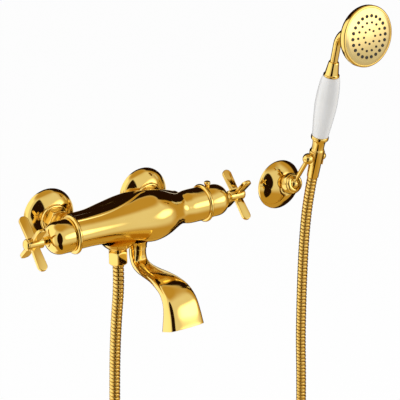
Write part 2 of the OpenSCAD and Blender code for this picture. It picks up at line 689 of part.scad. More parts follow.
module ball_seat() {
    color("ivory") on_nose() difference() {
        translate([0, 0, ball_out - ball_r - seat_t + 2]) cylinder(r = seat_r, h = seat_t);
        translate([0, 0, ball_out]) sphere(r = ball_r + run_gap);
    }
}
ring_end = ball_out + 5.2;
ring_mouth = 60;
module retaining_ring() {
    bead = 2.4;
    color(gold) on_nose() difference() {
        rotate_extrude() polygon(concat([[0, cup_end], [cup_end_r, cup_end], [cup_end_r + 0.9, cup_end + 1.2],
            [cup_end_r + 0.9, ring_end - bead]],
            quarter([cup_end_r + 0.9, ring_end - bead], [cup_end_r - 2.6, ring_end], 8),
            [[0, ring_end]]));
        translate([0, 0, ball_out]) sphere(r = ball_r + ball_gap);
        // The mouth flares so that the rod can lean
        translate([0, 0, ball_out]) cylinder(r1 = 0, r2 = 10 * tan(ring_mouth), h = 10);
    }
}

// Arm: the ball, the rod and the pivot knob beside the hand shower's holder

knob_side = sleeve_r + pass_gap + 3.2;
knob_up = 33;
knob_trim = knob_side - sleeve_r - pass_gap;
pivot_r = 3;
pivot_l = 8;
ball_at = [bracket_x, 0, bracket_z] + ball_out * nose_dir;
knob_at = handset_point(0, knob_up) - [knob_side, 0, 0];
module between(a, b, r) {
    d = b - a;
    translate(a) rotate([0, acos(d[2] / norm(d)), atan2(d[1], d[0])]) cylinder(r = r, h = norm(d));
}
module bracket_arm() {
    color(gold) difference() {
        union() {
            translate(ball_at) sphere(r = ball_r);
            between(ball_at, knob_at, rod_r);
            in_handset() intersection() {
                translate([-knob_side, 0, knob_up]) sphere(r = knob_r);
                translate([-knob_side - 2 * knob_r, -2 * knob_r, knob_up - 2 * knob_r])
                    cube([2 * knob_r + knob_trim, 4 * knob_r, 4 * knob_r]);
            }
        }
        in_handset() translate([-knob_side + knob_trim - pivot_l, 0, knob_up]) rotate([0, 90, 0])
            cylinder(r = pivot_r + run_gap, h = pivot_l + 1);
    }
}

// Holder: a conical sleeve, open in front, that pivots on the knob

function cone_r(z) = cone_small_r + (cone_big_r - cone_small_r) * z / cone_l;
sleeve_low = knob_up - sleeve_l / 2;
boss_knob_r = 6;
boss_knob_side = sleeve_r - 0.5;
module handset_holder() {
    low_r = cone_r(sleeve_low) + pass_gap;
    high_r = cone_r(sleeve_low + sleeve_l) + pass_gap;
    edge = 0.6;
    color(gold) in_handset() {
        difference() {
            rotate_extrude() polygon([[low_r, sleeve_low], [sleeve_r - edge, sleeve_low],
                [sleeve_r, sleeve_low + edge],
                [sleeve_r, sleeve_low + sleeve_l - edge], [sleeve_r - edge, sleeve_low + sleeve_l],
                [high_r, sleeve_low + sleeve_l]]);
            translate([-slot_w / 2, -2 * sleeve_r, sleeve_low - 1])
                cube([slot_w, 2 * sleeve_r, sleeve_l + 2]);
        }
        difference() {
            translate([boss_knob_side, 0, knob_up]) sphere(r = boss_knob_r);
            translate([0, 0, sleeve_low]) cylinder(r = sleeve_r - edge, h = sleeve_l);
        }
        // Pivot pin that runs in the knob
        translate([-sleeve_r - pivot_l + 0.8, 0, knob_up]) rotate([0, 90, 0])
            cylinder(r = pivot_r, h = pivot_l - 0.1);
    }
}

// Hand shower

module hose_cone_nut() {
    color(gold) in_handset() rotate_extrude() polygon([[hose_bore_r + 1, 0], [cone_small_r - 0.6, 0],
        [cone_small_r, 0.8], [cone_big_r, cone_l - 0.8], [cone_big_r - 0.6, cone_l], [7.5 + fit_gap, cone_l],
        [7.5 + fit_gap, cone_l - 11], [hose_bore_r + 1, cone_l - 11]]);
}
ferrule_l = 23;
ferrule_rim_r = 13;
ferrule_rim_h = 6.2;
ferrule_neck_r = 9;
ferrule_waist = 5;
ceramic_start = cone_l + ferrule_l;
ceramic_end = ceramic_start + ceramic_l;
core_r = 7;
core_bore_r = 5.5;
module lower_ferrule() {
    seat = ceramic_start;
    rim = seat - ferrule_rim_h;
    color(gold) in_handset() rotate_extrude() polygon(concat(
        [[5, cone_l - 10], [7.5, cone_l - 10], [7.5, cone_l],
        [cone_big_r - 0.5, cone_l], [cone_big_r, cone_l + 0.6], [ferrule_neck_r, cone_l + 1.4],
        [ferrule_neck_r, cone_l + ferrule_waist]],
        quarter([ferrule_neck_r, cone_l + ferrule_waist], [ferrule_rim_r - 1.6, rim], 8),
        hollow_quarter([ferrule_rim_r - 1.6, rim], [ferrule_rim_r, rim + 2.2], 4),
        [[ferrule_rim_r, seat - 2]], quarter([ferrule_rim_r, seat - 2], [ferrule_rim_r - 1, seat], 4),
        [[core_r + fit_gap, seat], [core_r + fit_gap, seat - 6], [5, seat - 6]]));
}
ceramic_low_r = 11.9;
ceramic_high_r = 12.9;
ceramic_stations = [[ceramic_low_r, ceramic_start], [ceramic_r - 1.9, ceramic_start + 0.25 * ceramic_l],
    [ceramic_r - 0.3, ceramic_start + 0.46 * ceramic_l], [ceramic_r, ceramic_start + 0.58 * ceramic_l],
    [ceramic_r - 0.6, ceramic_start + 0.75 * ceramic_l],
    [ceramic_high_r + 1.3, ceramic_start + 0.9 * ceramic_l],
    [ceramic_high_r - 0.9, ceramic_end]];
module ceramic_handle() {
    color("white") in_handset() rotate_extrude() polygon(concat([[core_r + 0.2, ceramic_start]],
        spline(ceramic_stations, 4), [[core_r + 0.2, ceramic_end]]));
}
core_seat = 6;
module handle_core_tube() {
    color("darkgoldenrod") in_handset() translate([0, 0, ceramic_start - core_seat + 0.2]) difference() {
        cylinder(r = core_r, h = ceramic_l + 2 * core_seat - 0.4);
        translate([0, 0, -1]) cylinder(r = core_bore_r, h = ceramic_l + 2 * core_seat + 2);
    }
}
upper_rim_r = 11.6;
upper_l = 22.5;
upper_end = ceramic_end + upper_l;
module upper_ferrule() {
    color(gold) in_handset() rotate_extrude() polygon([
        [core_r + fit_gap, ceramic_end], [upper_rim_r - 0.8, ceramic_end],
        [upper_rim_r, ceramic_end + 0.8], [upper_rim_r, ceramic_end + 2.6],
        [upper_rim_r - 1.6, ceramic_end + 4],
        [neck_tube_r + 1.4, upper_end - 0.8], [neck_tube_r + 0.8, upper_end],
        [neck_tube_r + fit_gap, upper_end],
        [neck_tube_r + fit_gap, ceramic_end + core_seat + 4], [core_bore_r - 1, ceramic_end + core_seat + 4],
        [core_bore_r - 1, ceramic_end + core_seat], [core_r + fit_gap, ceramic_end + core_seat]]);
}

// Neck tube: straight out of the ferrule, then a bend that ends on the stem of the head

head_up = 15.4;
neck_turn = 90 - head_up;
bend_start = upper_end + 26;
neck_reach = 16;
neck_bore_r = neck_tube_r - 1.2;
neck_start = ceramic_end + core_seat + 4;
module tube_section() {
    difference() {
        circle(r = neck_tube_r);
        circle(r = neck_bore_r);
    }
}
// Frame of the head: its axis looks out of the face, and starts at the end of the bend
module at_bend_end() {
    translate([0, -neck_bend_r + neck_bend_r * cos(neck_turn), bend_start + neck_bend_r * sin(neck_turn)])
        rotate([neck_turn, 0, 0]) children();
}
module neck_tube() {
    color(gold) in_handset() {
        translate([0, 0, neck_start]) linear_extrude(bend_start - neck_start) tube_section();
        translate([0, -neck_bend_r, bend_start]) rotate([90, 0, 90]) rotate_extrude(angle = neck_turn)
            translate([neck_bend_r, 0]) tube_section();
    }
}

// Shower head: a bell shell behind a spray plate with three rings of nozzles

head_rim = 6;
head_wall = 1.8;
head_collar_r = 9;
plate_t = 2.5;
plate_r = head_r - 3;
module in_head() { in_handset() at_bend_end() translate([0, 0, neck_reach]) children(); }
function head_back(shrink) =
    let (rim = head_r - shrink, top = head_d - head_rim, collar = head_collar_r - shrink + 0.4)
    [for (k = [0 : 14]) let (t = k / 14, a = 90 * t)
        [collar + (rim - collar) * sin(a), 1 + shrink + (top - 1 - shrink) * (1 - cos(a))]];
module head_shell() {
    stem_end = -3.5;
    color(gold) in_head() rotate_extrude() polygon(concat(
        [[neck_bore_r, -neck_reach], [neck_tube_r, -neck_reach], [neck_tube_r, stem_end]],
        quarter([neck_tube_r, stem_end], head_back(0)[0], 6), [for (k = [1 : 14]) head_back(0)[k]],
        [[head_r, head_d - 2]], quarter([head_r, head_d - 2], [plate_r + fit_gap, head_d], 5),
        [[plate_r + fit_gap, head_d - plate_t - fit_gap], [plate_r - 3, head_d - plate_t - fit_gap],
            [plate_r - 3, head_d - head_rim]],
        [for (k = [14 : -1 : 0]) let (q = head_back(head_wall)[k]) [min(q[0], plate_r - 3), q[1]]],
        [[neck_bore_r, 1 + head_wall]]));
}
// Radius, count and hole radius of each ring of nozzles
nozzle_rings = [[28.4, 22, 1.9], [19.5, 14, 1.3], [9.7, 8, 1.2]];
module each_nozzle() {
    for (ring = nozzle_rings, k = [0 : ring[1] - 1])
        rotate([0, 0, 360 * k / ring[1]]) translate([ring[0], 0, 0])
            cylinder(r = ring[2] + $grow, h = $high, $fn = 24);
}
module spray_plate() {
    color("khaki") in_head() translate([0, 0, head_d - plate_t]) difference() {
        union() {
            cylinder(r = plate_r, h = plate_t);
            cylinder(r1 = plate_r - 0.6, r2 = plate_r - 4, h = plate_t + 0.8);
        }
        translate([0, 0, -1]) each_nozzle($grow = fit_gap, $high = plate_t + 3);
    }
}
nozzle_out = 0.9;
module spray_nozzles() {
    color("dimgray") in_head() translate([0, 0, head_d - plate_t]) {
        difference() {
            union() {
                translate([0, 0, -1]) cylinder(r = nozzle_rings[0][0] + 3, h = 1);
                translate([0, 0, -eps]) each_nozzle($grow = 0, $high = plate_t + 0.8 + nozzle_out + eps);
            }
            translate([0, 0, -2]) each_nozzle($grow = -0.6, $high = plate_t + 6);
        }
    }
}

mixer_body();
from_left_ring() trim_ring();  // flow_ring
from_right_ring() trim_ring();  // temperature_ring
from_left_ring() bonnet(false);  // flow_bonnet
from_right_ring() bonnet(true);  // temperature_bonnet
flow_cartridge();
thermostatic_cartridge();
from_left_ring() spindle();  // flow_spindle
from_right_ring() spindle();  // temperature_spindle
from_left_ring() cross_handle();  // flow_handle
from_right_ring() cross_handle();  // temperature_handle
from_left_ring() handle_cap();  // flow_handle_cap
from_right_ring() handle_cap();  // temperature_handle_cap
safety_button();
from_wall(left_x) wall_union();  // left_wall_union
from_wall(right_x) wall_union();  // right_wall_union
from_wall(left_x) inlet_rosette();  // left_rosette
from_wall(right_x) inlet_rosette();  // right_rosette
from_wall(left_x) union_nut();  // left_union_nut
from_wall(right_x) union_nut();  // right_union_nut
from_wall(left_x) union_washer();  // left_union_washer
from_wall(right_x) union_washer();  // right_union_washer
from_wall(left_x) inlet_tail();  // left_inlet_tail
from_wall(right_x) inlet_tail();  // right_inlet_tail
spout();
spout_nipple();
hose_nipple();
hose_hex_nut();
hose_stretch(stretch_ribs[0], stretch_ribs[1]);  // hose_loop
hose_stretch(stretch_ribs[1], stretch_ribs[2]);  // hose_leg_low
hose_stretch(stretch_ribs[2], stretch_ribs[3]);  // hose_leg_mid
hose_stretch(stretch_ribs[3], stretch_ribs[4]);  // hose_leg_top
hose_cone_nut();
bracket_base();
bracket_rosette();
bracket_cup();
ball_seat();
retaining_ring();
bracket_arm();
handset_holder();
lower_ferrule();
ceramic_handle();
handle_core_tube();
upper_ferrule();
neck_tube();
head_shell();
spray_plate();
spray_nozzles();
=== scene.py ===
# %% [markdown]
# # A gold bath shower mixer, dressed over its solids
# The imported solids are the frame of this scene: every piece below sits where its
# solid sits and moves with the same body. Almost everything on the real mixer is
# turned on a lathe and polished, so most pieces here are profiles spun about an
# axis. Fine profiles matter on polished metal, because it shows every facet.

# %% The frame and its box
import bisect
import math
import bmesh
import bpy
from mathutils import Matrix, Vector


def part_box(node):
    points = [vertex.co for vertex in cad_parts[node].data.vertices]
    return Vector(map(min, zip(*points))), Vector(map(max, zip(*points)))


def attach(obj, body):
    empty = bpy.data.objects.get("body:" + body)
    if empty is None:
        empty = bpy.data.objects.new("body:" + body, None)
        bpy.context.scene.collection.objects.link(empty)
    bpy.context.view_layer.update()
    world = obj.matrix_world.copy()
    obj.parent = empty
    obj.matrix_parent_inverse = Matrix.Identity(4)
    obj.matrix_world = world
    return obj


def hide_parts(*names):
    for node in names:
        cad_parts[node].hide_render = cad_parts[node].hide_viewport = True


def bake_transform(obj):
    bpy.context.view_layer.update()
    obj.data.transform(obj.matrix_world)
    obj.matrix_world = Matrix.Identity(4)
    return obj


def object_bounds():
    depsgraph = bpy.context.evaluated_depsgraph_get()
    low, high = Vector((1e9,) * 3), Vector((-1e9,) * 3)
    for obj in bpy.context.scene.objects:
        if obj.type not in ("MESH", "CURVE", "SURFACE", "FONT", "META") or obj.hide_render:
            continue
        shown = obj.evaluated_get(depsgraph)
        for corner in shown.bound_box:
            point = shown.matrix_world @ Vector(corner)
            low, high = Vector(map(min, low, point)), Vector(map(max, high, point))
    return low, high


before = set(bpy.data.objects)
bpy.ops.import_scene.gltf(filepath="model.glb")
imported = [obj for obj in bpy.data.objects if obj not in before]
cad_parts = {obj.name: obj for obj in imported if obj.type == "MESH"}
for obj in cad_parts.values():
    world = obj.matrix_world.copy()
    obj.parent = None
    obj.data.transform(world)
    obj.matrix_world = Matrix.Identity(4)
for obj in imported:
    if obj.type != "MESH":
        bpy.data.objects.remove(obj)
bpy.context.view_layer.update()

MM = 0.001
scene = bpy.context.scene

# %% [markdown]
# ## Camera
# The photograph looks down at the mixer from the left. The lens is long, so the
# far bracket is hardly smaller than the near handle.

# %% Camera at the photograph's angle
camera_back = Vector((-0.5242, -0.7743, 0.3546))
photo_camera = bpy.data.objects.new("photo_camera", bpy.data.cameras.new("photo_camera"))
photo_camera.location = (-0.929, -1.628, 0.714)
photo_camera.rotation_euler = camera_back.to_track_quat("Z", "Y").to_euler()
photo_camera.data.sensor_width = 36
photo_camera.data.lens = 130.5
scene.collection.objects.link(photo_camera)
scene.camera = photo_camera
scene.view_settings.view_transform = "Standard"
print("camera", [round(v, 3) for v in photo_camera.location])

# %% [markdown]
# ## Places on the object
# Each lathe needs an axis. These frames have their own Z along the axis of a piece,
# read from the solids' boxes, so that profiles can be written as radius and distance.

# %% Frames of the turned pieces
def middle(node):
    low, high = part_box(node)
    return (Vector(low) + Vector(high)) / 2

def axis_frame(at, turn=0, about="X"):
    return Matrix.Translation(at) @ Matrix.Rotation(math.radians(turn), 4, about)

NOSE_TILT = 18.5
HANDSET_LEAN = 12.4
NECK_TURN = 74.6
NECK_BEND = 30
NECK_BEND_START = 213.5
left_ring = axis_frame(middle("flow_ring"), -90, "Y")
right_ring = axis_frame(middle("temperature_ring"), 90, "Y")
body_axis = axis_frame((0, middle("flow_ring").y, 0), 90, "Y")
left_inlet = axis_frame((middle("left_rosette").x, 0, 0), 90)
right_inlet = axis_frame((middle("right_rosette").x, 0, 0), 90)
bracket_centre = Vector((middle("bracket_rosette").x, 0, middle("bracket_rosette").z))
bracket_wall = axis_frame(bracket_centre, 90)
bracket_nose = axis_frame(bracket_centre, 90 - NOSE_TILT)
handset_root = Vector((middle("hose_cone_nut").x, -0.0629, -0.0081))
handset = axis_frame(handset_root, HANDSET_LEAN)
neck_swing = math.radians(NECK_TURN)
head = handset @ axis_frame(Vector((0, NECK_BEND * (math.cos(neck_swing) - 1),
    NECK_BEND_START + NECK_BEND * math.sin(neck_swing))) * MM, NECK_TURN) @ Matrix.Translation((0, 0, 16 * MM))
outlet = axis_frame((middle("hose_hex_nut").x, middle("hose_hex_nut").y, 0))
spout_at = axis_frame((middle("spout").x, middle("flow_ring").y, -0.041))
print("bracket at", [round(v, 3) for v in bracket_centre])

# %% [markdown]
# ## Curves for profiles
# A turner reads a drawing made of stations, quarter rounds and hollows. The same
# three curves draw every profile here: a smooth line through stations, a quarter
# that bulges and a quarter that is hollow.

# %% Profile curves
def through(stations, steps=12):
    points = [Vector(p) for p in stations]
    last = len(points) - 1
    line = []
    for i in range(last):
        a, b = points[max(i - 1, 0)], points[i]
        c, d = points[i + 1], points[min(i + 2, last)]
        for k in range(steps):
            t = k / steps
            line.append(0.5 * (2 * b + (c - a) * t + (2 * a - 5 * b + 4 * c - d) * t * t
                + (3 * b - a - 3 * c + d) * t ** 3))
    return line + [points[last]]

def quarter(start, end, steps=20):
    turns = [math.pi / 2 * k / steps for k in range(1, steps + 1)]
    return [(end[0] + (start[0] - end[0]) * math.cos(a), start[1] + (end[1] - start[1]) * math.sin(a)) for a in turns]

def hollow(start, end, steps=20):
    turns = [math.pi / 2 * k / steps for k in range(1, steps + 1)]
    return [(start[0] + (end[0] - start[0]) * math.sin(a), end[1] + (start[1] - end[1]) * math.cos(a)) for a in turns]

# %% [markdown]
# ## The lathe
# bmesh.ops.spin turns a line of points about an axis. The full turn is merged with
# its start, the points on the axis are merged too, and the normals are worked out
# last. Edges that are still sharp get a small bevel, because real edges catch light.

# %% Lathe, bevel and finish
def turned(profile, place, steps=96, closed=False, angle=math.tau):
    bm = bmesh.new()
    points = [bm.verts.new((p[0] * MM, 0, p[1] * MM)) for p in profile]
    pairs = list(zip(points, points[1:])) + ([(points[-1], points[0])] if closed else [])
    edges = [bm.edges.new(pair) for pair in pairs]
    bmesh.ops.spin(bm, geom=points + edges, cent=(0, 0, 0), axis=(0, 0, 1), angle=angle, steps=steps,
        use_merge=angle == math.tau)
    bmesh.ops.remove_doubles(bm, verts=bm.verts, dist=1e-6)
    bmesh.ops.recalc_face_normals(bm, faces=bm.faces)
    bmesh.ops.transform(bm, matrix=place, verts=bm.verts)
    return bm

def ease(bm, width, segments=3, sharper_than=28):
    sharp = [e for e in bm.edges if len(e.link_faces) == 2 and e.calc_face_angle() > math.radians(sharper_than)]
    bmesh.ops.bevel(bm, geom=sharp, offset=width * MM, offset_type="OFFSET", segments=segments, profile=0.5,
        affect="EDGES", material=-1, clamp_overlap=True)
    return bm

def joined(*parts):
    whole = bmesh.new()
    for part in parts:
        mesh = bpy.data.meshes.new("part")
        part.to_mesh(mesh)
        part.free()
        whole.from_mesh(mesh)
        bpy.data.meshes.remove(mesh)
    return whole

def shown(bm, name, body, finish, nodes=(), smooth=38):
    mesh = bpy.data.meshes.new(name)
    bm.to_mesh(mesh)
    bm.free()
    for face in mesh.polygons:
        face.use_smooth = True
    mesh.set_sharp_from_angle(angle=math.radians(smooth))
    mesh.materials.append(finish)
    piece = bpy.data.objects.new(name, mesh)
    scene.collection.objects.link(piece)
    if body:
        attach(piece, body)
    if nodes:
        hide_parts(*nodes)
    print(name, len(mesh.polygons), "faces")
    return piece

# %% [markdown]
# ## Finishes
# Polished gold plate is a metal with a saturated base colour and very low roughness.
# It is never perfect: wiping leaves faint hairlines and the plate varies a little in
# tone, so noise moves the colour, the roughness and a very shallow bump.

# %% Node helpers
def new_finish(name):
    finish = bpy.data.materials.new(name)
    finish.use_nodes = True
    tree = finish.node_tree
    return finish, tree, tree.nodes["Principled BSDF"]

def noise(tree, scale, detail=4, stretch=None, source="Object"):
    place = tree.nodes.new("ShaderNodeTexCoord")
    texture = tree.nodes.new("ShaderNodeTexNoise")
    texture.inputs["Scale"].default_value = scale
    texture.inputs["Detail"].default_value = detail
    if stretch:
        mapping = tree.nodes.new("ShaderNodeMapping")
        mapping.inputs["Scale"].default_value = stretch
        tree.links.new(place.outputs[source], mapping.inputs["Vector"])
        tree.links.new(mapping.outputs["Vector"], texture.inputs["Vector"])
    else:
        tree.links.new(place.outputs[source], texture.inputs["Vector"])
    return texture.outputs["Fac"]

def ramp(tree, value, low, high, start=0.35, end=0.65):
    colours = tree.nodes.new("ShaderNodeValToRGB")
    colours.color_ramp.elements[0].position = start
    colours.color_ramp.elements[1].position = end
    colours.color_ramp.elements[0].color = (*low, 1)
    colours.color_ramp.elements[1].color = (*high, 1)
    tree.links.new(value, colours.inputs["Fac"])
    return colours.outputs["Color"]

def between(tree, value, low, high, start=0.3, end=0.7):
    remap = tree.nodes.new("ShaderNodeMapRange")
    remap.inputs["From Min"].default_value = start
    remap.inputs["From Max"].default_value = end
    remap.inputs["To Min"].default_value = low
    remap.inputs["To Max"].default_value = high
    tree.links.new(value, remap.inputs["Value"])
    return remap.outputs["Result"]

def relief(tree, value, shader, strength, depth):
    bump = tree.nodes.new("ShaderNodeBump")
    bump.inputs["Strength"].default_value = strength
    bump.inputs["Distance"].default_value = depth
    tree.links.new(value, bump.inputs["Height"])
    tree.links.new(bump.outputs["Normal"], shader.inputs["Normal"])

# %% Gold finishes
def gold_plate(name, low, high, rough, grain, depth):
    finish, tree, shader = new_finish(name)
    shader.inputs["Metallic"].default_value = 1
    tree.links.new(ramp(tree, noise(tree, 38), low, high), shader.inputs["Base Color"])
    tree.links.new(between(tree, noise(tree, 90, 6), *rough), shader.inputs["Roughness"])
    relief(tree, noise(tree, grain, 2), shader, 0.12, depth)
    return finish

polished_gold = gold_plate("polished_gold", (0.765, 0.535, 0.145), (0.79, 0.56, 0.165), (0.045, 0.085), 260, 0.00004)
plain_brass = gold_plate("plain_brass", (0.52, 0.34, 0.12), (0.60, 0.41, 0.17), (0.28, 0.42), 420, 0.0002)

# %% [markdown]
# ## The hose
# A bath hose is a brass strip wound and folded into itself, so it shows as a stack of
# rounded bands, and the grooves between them are darkened with painted shade. It is 1.5 m long and hangs in one loop
# from the nut under the mixer to the cone nut in the holder. A straight ribbed tube is
# spun first and then every point is carried over to the hose's route, which repeats
# the points of the solids. It is cut at three places, where the joints that move it lie;
# only the stretch under the mixer is attached to a body, and the other three are not attached to any body.

# %% The hose's route
leg_left, leg_right = outlet.translation.x / MM, handset_root.x / MM
def handset_point(z):
    return tuple(v / MM for v in handset @ Vector((0, 0, z * MM)))

def across(share):
    return leg_left + share * (leg_right - leg_left)

hose_stations = [(leg_left, -80, -58.8), (leg_left, -80, -79.8)]
hose_stations += [(leg_left, y, z) for y, z in [(-78, -105), (-72, -145), (-67, -190), (-64, -235), (-62, -285),
    (-61, -340), (-60, -400), (-60, -460)]]
hose_stations += [(across(f), y, z) for f, y, z in [(0.003, -59, -515), (0.04, -58, -581), (0.145, -58, -637),
    (0.308, -57, -673), (0.5, -56, -686), (0.692, -55, -673), (0.855, -54, -637), (0.96, -53, -581), (0.997, -52, -515)]]
hose_stations += [(leg_right, y, z) for y, z in [(-51, -460), (-51, -400), (-49, -340), (-46, -285), (-45, -235),
    (-45, -190), (-46, -145), (-48, -105), (-52, -65)]]
hose_stations += [handset_point(-20), handset_point(0)]
hose_line = [p * MM for p in through(hose_stations, 16)]
hose_run = [0.0]
for here, after in zip(hose_line, hose_line[1:]):
    hose_run.append(hose_run[-1] + (after - here).length)
HOSE_LENGTH = hose_run[-1]
HOSE_RADIUS = 7.75

def hose_at(s):
    s = min(max(s, 0.0), HOSE_LENGTH)
    k = min(bisect.bisect_right(hose_run, s), len(hose_run) - 1)
    share = (s - hose_run[k - 1]) / (hose_run[k] - hose_run[k - 1])
    return hose_line[k - 1].lerp(hose_line[k], share)
print("hose length", round(HOSE_LENGTH, 3))

# %% Hose gold
def hose_plate(name):
    finish, tree, shader = new_finish(name)
    shader.inputs["Metallic"].default_value = 1
    groove_shade_mask = tree.nodes.new("ShaderNodeAttribute")
    groove_shade_mask.attribute_name = "groove_shade_mask"
    tone = ramp(tree, noise(tree, 120), (0.72, 0.48, 0.12), (0.78, 0.55, 0.16))
    # Painted shade: the base colour is mixed toward dark brown where the groove mask is high, in the grooves between
    # the bands.
    shade = tree.nodes.new("ShaderNodeMix")
    shade.data_type = "RGBA"
    tree.links.new(groove_shade_mask.outputs["Fac"], shade.inputs["Factor"])
    tree.links.new(tone, shade.inputs["A"])
    shade.inputs["B"].default_value = (0.2, 0.1, 0.02, 1)
    tree.links.new(shade.outputs["Result"], shader.inputs["Base Color"])
    tree.links.new(between(tree, groove_shade_mask.outputs["Fac"], 0.14, 0.5, 0, 1), shader.inputs["Roughness"])
    relief(tree, noise(tree, 700, 3), shader, 0.15, 0.00005)
    return finish
hose_gold = hose_plate("hose_gold")

# %% The four stretches of the hose
BAND = HOSE_LENGTH / round(HOSE_LENGTH / (5.8 * MM))
STEPS_PER_BAND = 13
band_shape = [(0, 6.0), (0.08, 6.1), (0.15, 6.9), (0.24, 7.5), (0.36, 7.75), (0.45, 7.65), (0.54, 7.5), (0.63, 7.65), (0.72, 7.75),
    (0.84, 7.5), (0.93, 6.9), (1, 6.0)]

def band_radius(turns):
    turns %= 1
    k = min(max(1, bisect.bisect_right([t for t, r in band_shape], turns)), len(band_shape) - 1)
    (low, r0), (high, r1) = band_shape[k - 1], band_shape[k]
    return r0 + (r1 - r0) * (turns - low) / (high - low)

rib_pitch = (HOSE_LENGTH - 4 * HOSE_RADIUS * MM) / 196
cuts = [0, 2 * HOSE_RADIUS * MM + 132 * rib_pitch, 2 * HOSE_RADIUS * MM + 168 * rib_pitch,
    2 * HOSE_RADIUS * MM + 184 * rib_pitch, HOSE_LENGTH]

def hose_stretch(start, end):
    rows = round((end - start) / BAND * STEPS_PER_BAND)
    bm = turned([(HOSE_RADIUS, (end - start) / MM * k / rows) for k in range(rows + 1)], Matrix.Identity(4), steps=30)
    groove_shade_mask = bm.verts.layers.float.new("groove_shade_mask")
    places = {}
    for v in bm.verts:
        key = round(v.co.z, 7)
        if key not in places:
            here, ahead, behind = (hose_at(start + v.co.z + step) for step in (0, 0.002, -0.002))
            along = (ahead - behind).normalized()
            side = along.cross(Vector((0, 1, 0))).normalized()
            places[key] = (here, side, along.cross(side))
        here, side, out = places[key]
        turn = math.atan2(v.co.y, v.co.x)
        radius = band_radius((start + v.co.z) / BAND + turn / math.tau)
        # Groove mask: the deeper into a groove, the more painted shade in the colour and the rougher the surface.
        v[groove_shade_mask] = min(1.0, max(0.0, (7.4 - radius) / 1.2))
        v.co = here + (math.cos(turn) * side + math.sin(turn) * out) * radius * MM
    bmesh.ops.recalc_face_normals(bm, faces=bm.faces)
    return bm, [hose_at(start + (end - start) * k / 60) for k in range(61)]

hose_bodies = {"hose_loop": ("mixer",), "hose_leg_low": ("mixer", "arm"), "hose_leg_mid": ("arm", "holder"),
    "hose_leg_top": ("holder", "hand_shower")}
for (name, bodies), start, end in zip(hose_bodies.items(), cuts, cuts[1:]):
    bm, path = hose_stretch(start, end)
    piece = shown(bm, name + "_bands", bodies[0] if len(bodies) == 1 else None, hose_gold, [name], smooth=70)
    if len(bodies) == 2:
        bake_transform(piece)

# %% [markdown]
# ## Nuts on the hose
# The nut under the mixer is a soft hexagon: its ends are turned away so far that each flat
# looks like a small cushion. A drum is spun, and every point is drawn in to the nearest of
# the six flats and the turned end. The cone nut at the other end is a plain taper.

# %% Hexagon nuts and the cone nut
def soft_least(*values):
    return -math.log(sum(math.exp(-3 * v) for v in values)) / 3

def hex_nut(place, flats, low, high, end_radius, chamfer):
    corner = flats / 2 / math.cos(math.pi / 6)
    rows = [(1, low + (high - low) * k / 40) for k in range(41)]
    bm = turned([(0, low)] + rows + [(0, high)], Matrix.Identity(4), steps=144)
    for v in bm.verts:
        if Vector(v.co.xy).length < 0.5 * MM:
            continue
        turn, z = math.atan2(v.co.y, v.co.x), v.co.z / MM
        off = turn % (math.pi / 3) - math.pi / 6
        faces = [flats / 2 / math.cos(off + side) for side in (-math.pi / 3, 0, math.pi / 3) if abs(off + side) < 1.4]
        into = min(1, min(z - low, high - z) / chamfer)
        cone = end_radius + (corner + 0.6 - end_radius) * math.sin(into * math.pi / 2)
        reach = soft_least(cone, *faces) * MM
        v.co.x, v.co.y = math.cos(turn) * reach, math.sin(turn) * reach
    bmesh.ops.recalc_face_normals(bm, faces=bm.faces)
    bmesh.ops.transform(bm, matrix=place, verts=bm.verts)
    return bm

hose_nut = shown(hex_nut(outlet, 24.6, -58.8, -36.3, 9.6, 6), "hose_nut_cushioned", "mixer", polished_gold,
    ["hose_hex_nut"])
cone_nut = shown(ease(turned([(6, 0), (8, 0), (8.6, 0.8), (9.8, 45.2), (9.2, 46), (7.55, 46), (7.55, 35), (6, 35)],
    handset, closed=True), 0.25), "hose_cone_turned", "hand_shower", polished_gold, ["hose_cone_nut"])

# %% [markdown]
# ## The mixer body
# The casting is a bottle-shaped belly in front of a thinner water channel, and the two
# run into each other along a soft crease. The belly is spun on its own axis. Each point is
# then moved out to wherever the channel reaches further, with a small blend at the crease, so
# the two become one skin. A low step along the top is the shoulder that catches the light. The nose of the channel behind the left ring is cut
# round, to let the ring and the bonnet pass.

# %% Belly and channel as one skin
belly = through([(21.5, -80), (21.4, -60), (22.6, -38), (25.2, -15), (29, 5), (33, 20), (35, 35), (33.6, 48),
    (30.2, 60), (25.4, 71), (22.2, 79), (21.1, 85), (21.9, 90), (23, 96), (23.4, 103)], 14)
channel = through([(19.5, -75), (20, -50), (24, -26), (28.2, 0), (29.5, 22), (27.2, 50), (22.6, 75), (18, 90)], 9)
CHANNEL_BACK = 20
CREASE = 3

def channel_reach(x):
    if x < -75:
        return 19.5 * math.sqrt(max(0, 1 - ((-75 - x) / 15) ** 2))
    if x > 90:
        return 18 * math.sqrt(max(0, 1 - ((x - 90) / 12) ** 2))
    k = max(1, bisect.bisect_right([p[1] for p in channel], x))
    low, high = channel[min(k, len(channel) - 1) - 1], channel[min(k, len(channel) - 1)]
    return low[0] + (high[0] - low[0]) * (x - low[1]) / (high[1] - low[1])

def eased(value):
    value = max(0, min(1, value))
    return value * value * (3 - 2 * value)

def shoulder(x, back, up):
    turn = math.degrees(math.atan2(up, -back))
    start = 64 + 28 * max(0, min(1, (x + 45) / 70)) ** 1.5
    return 1.4 * eased((turn - start) / 5) * eased((165 - turn) / 50) * eased((44 - x) / 18)

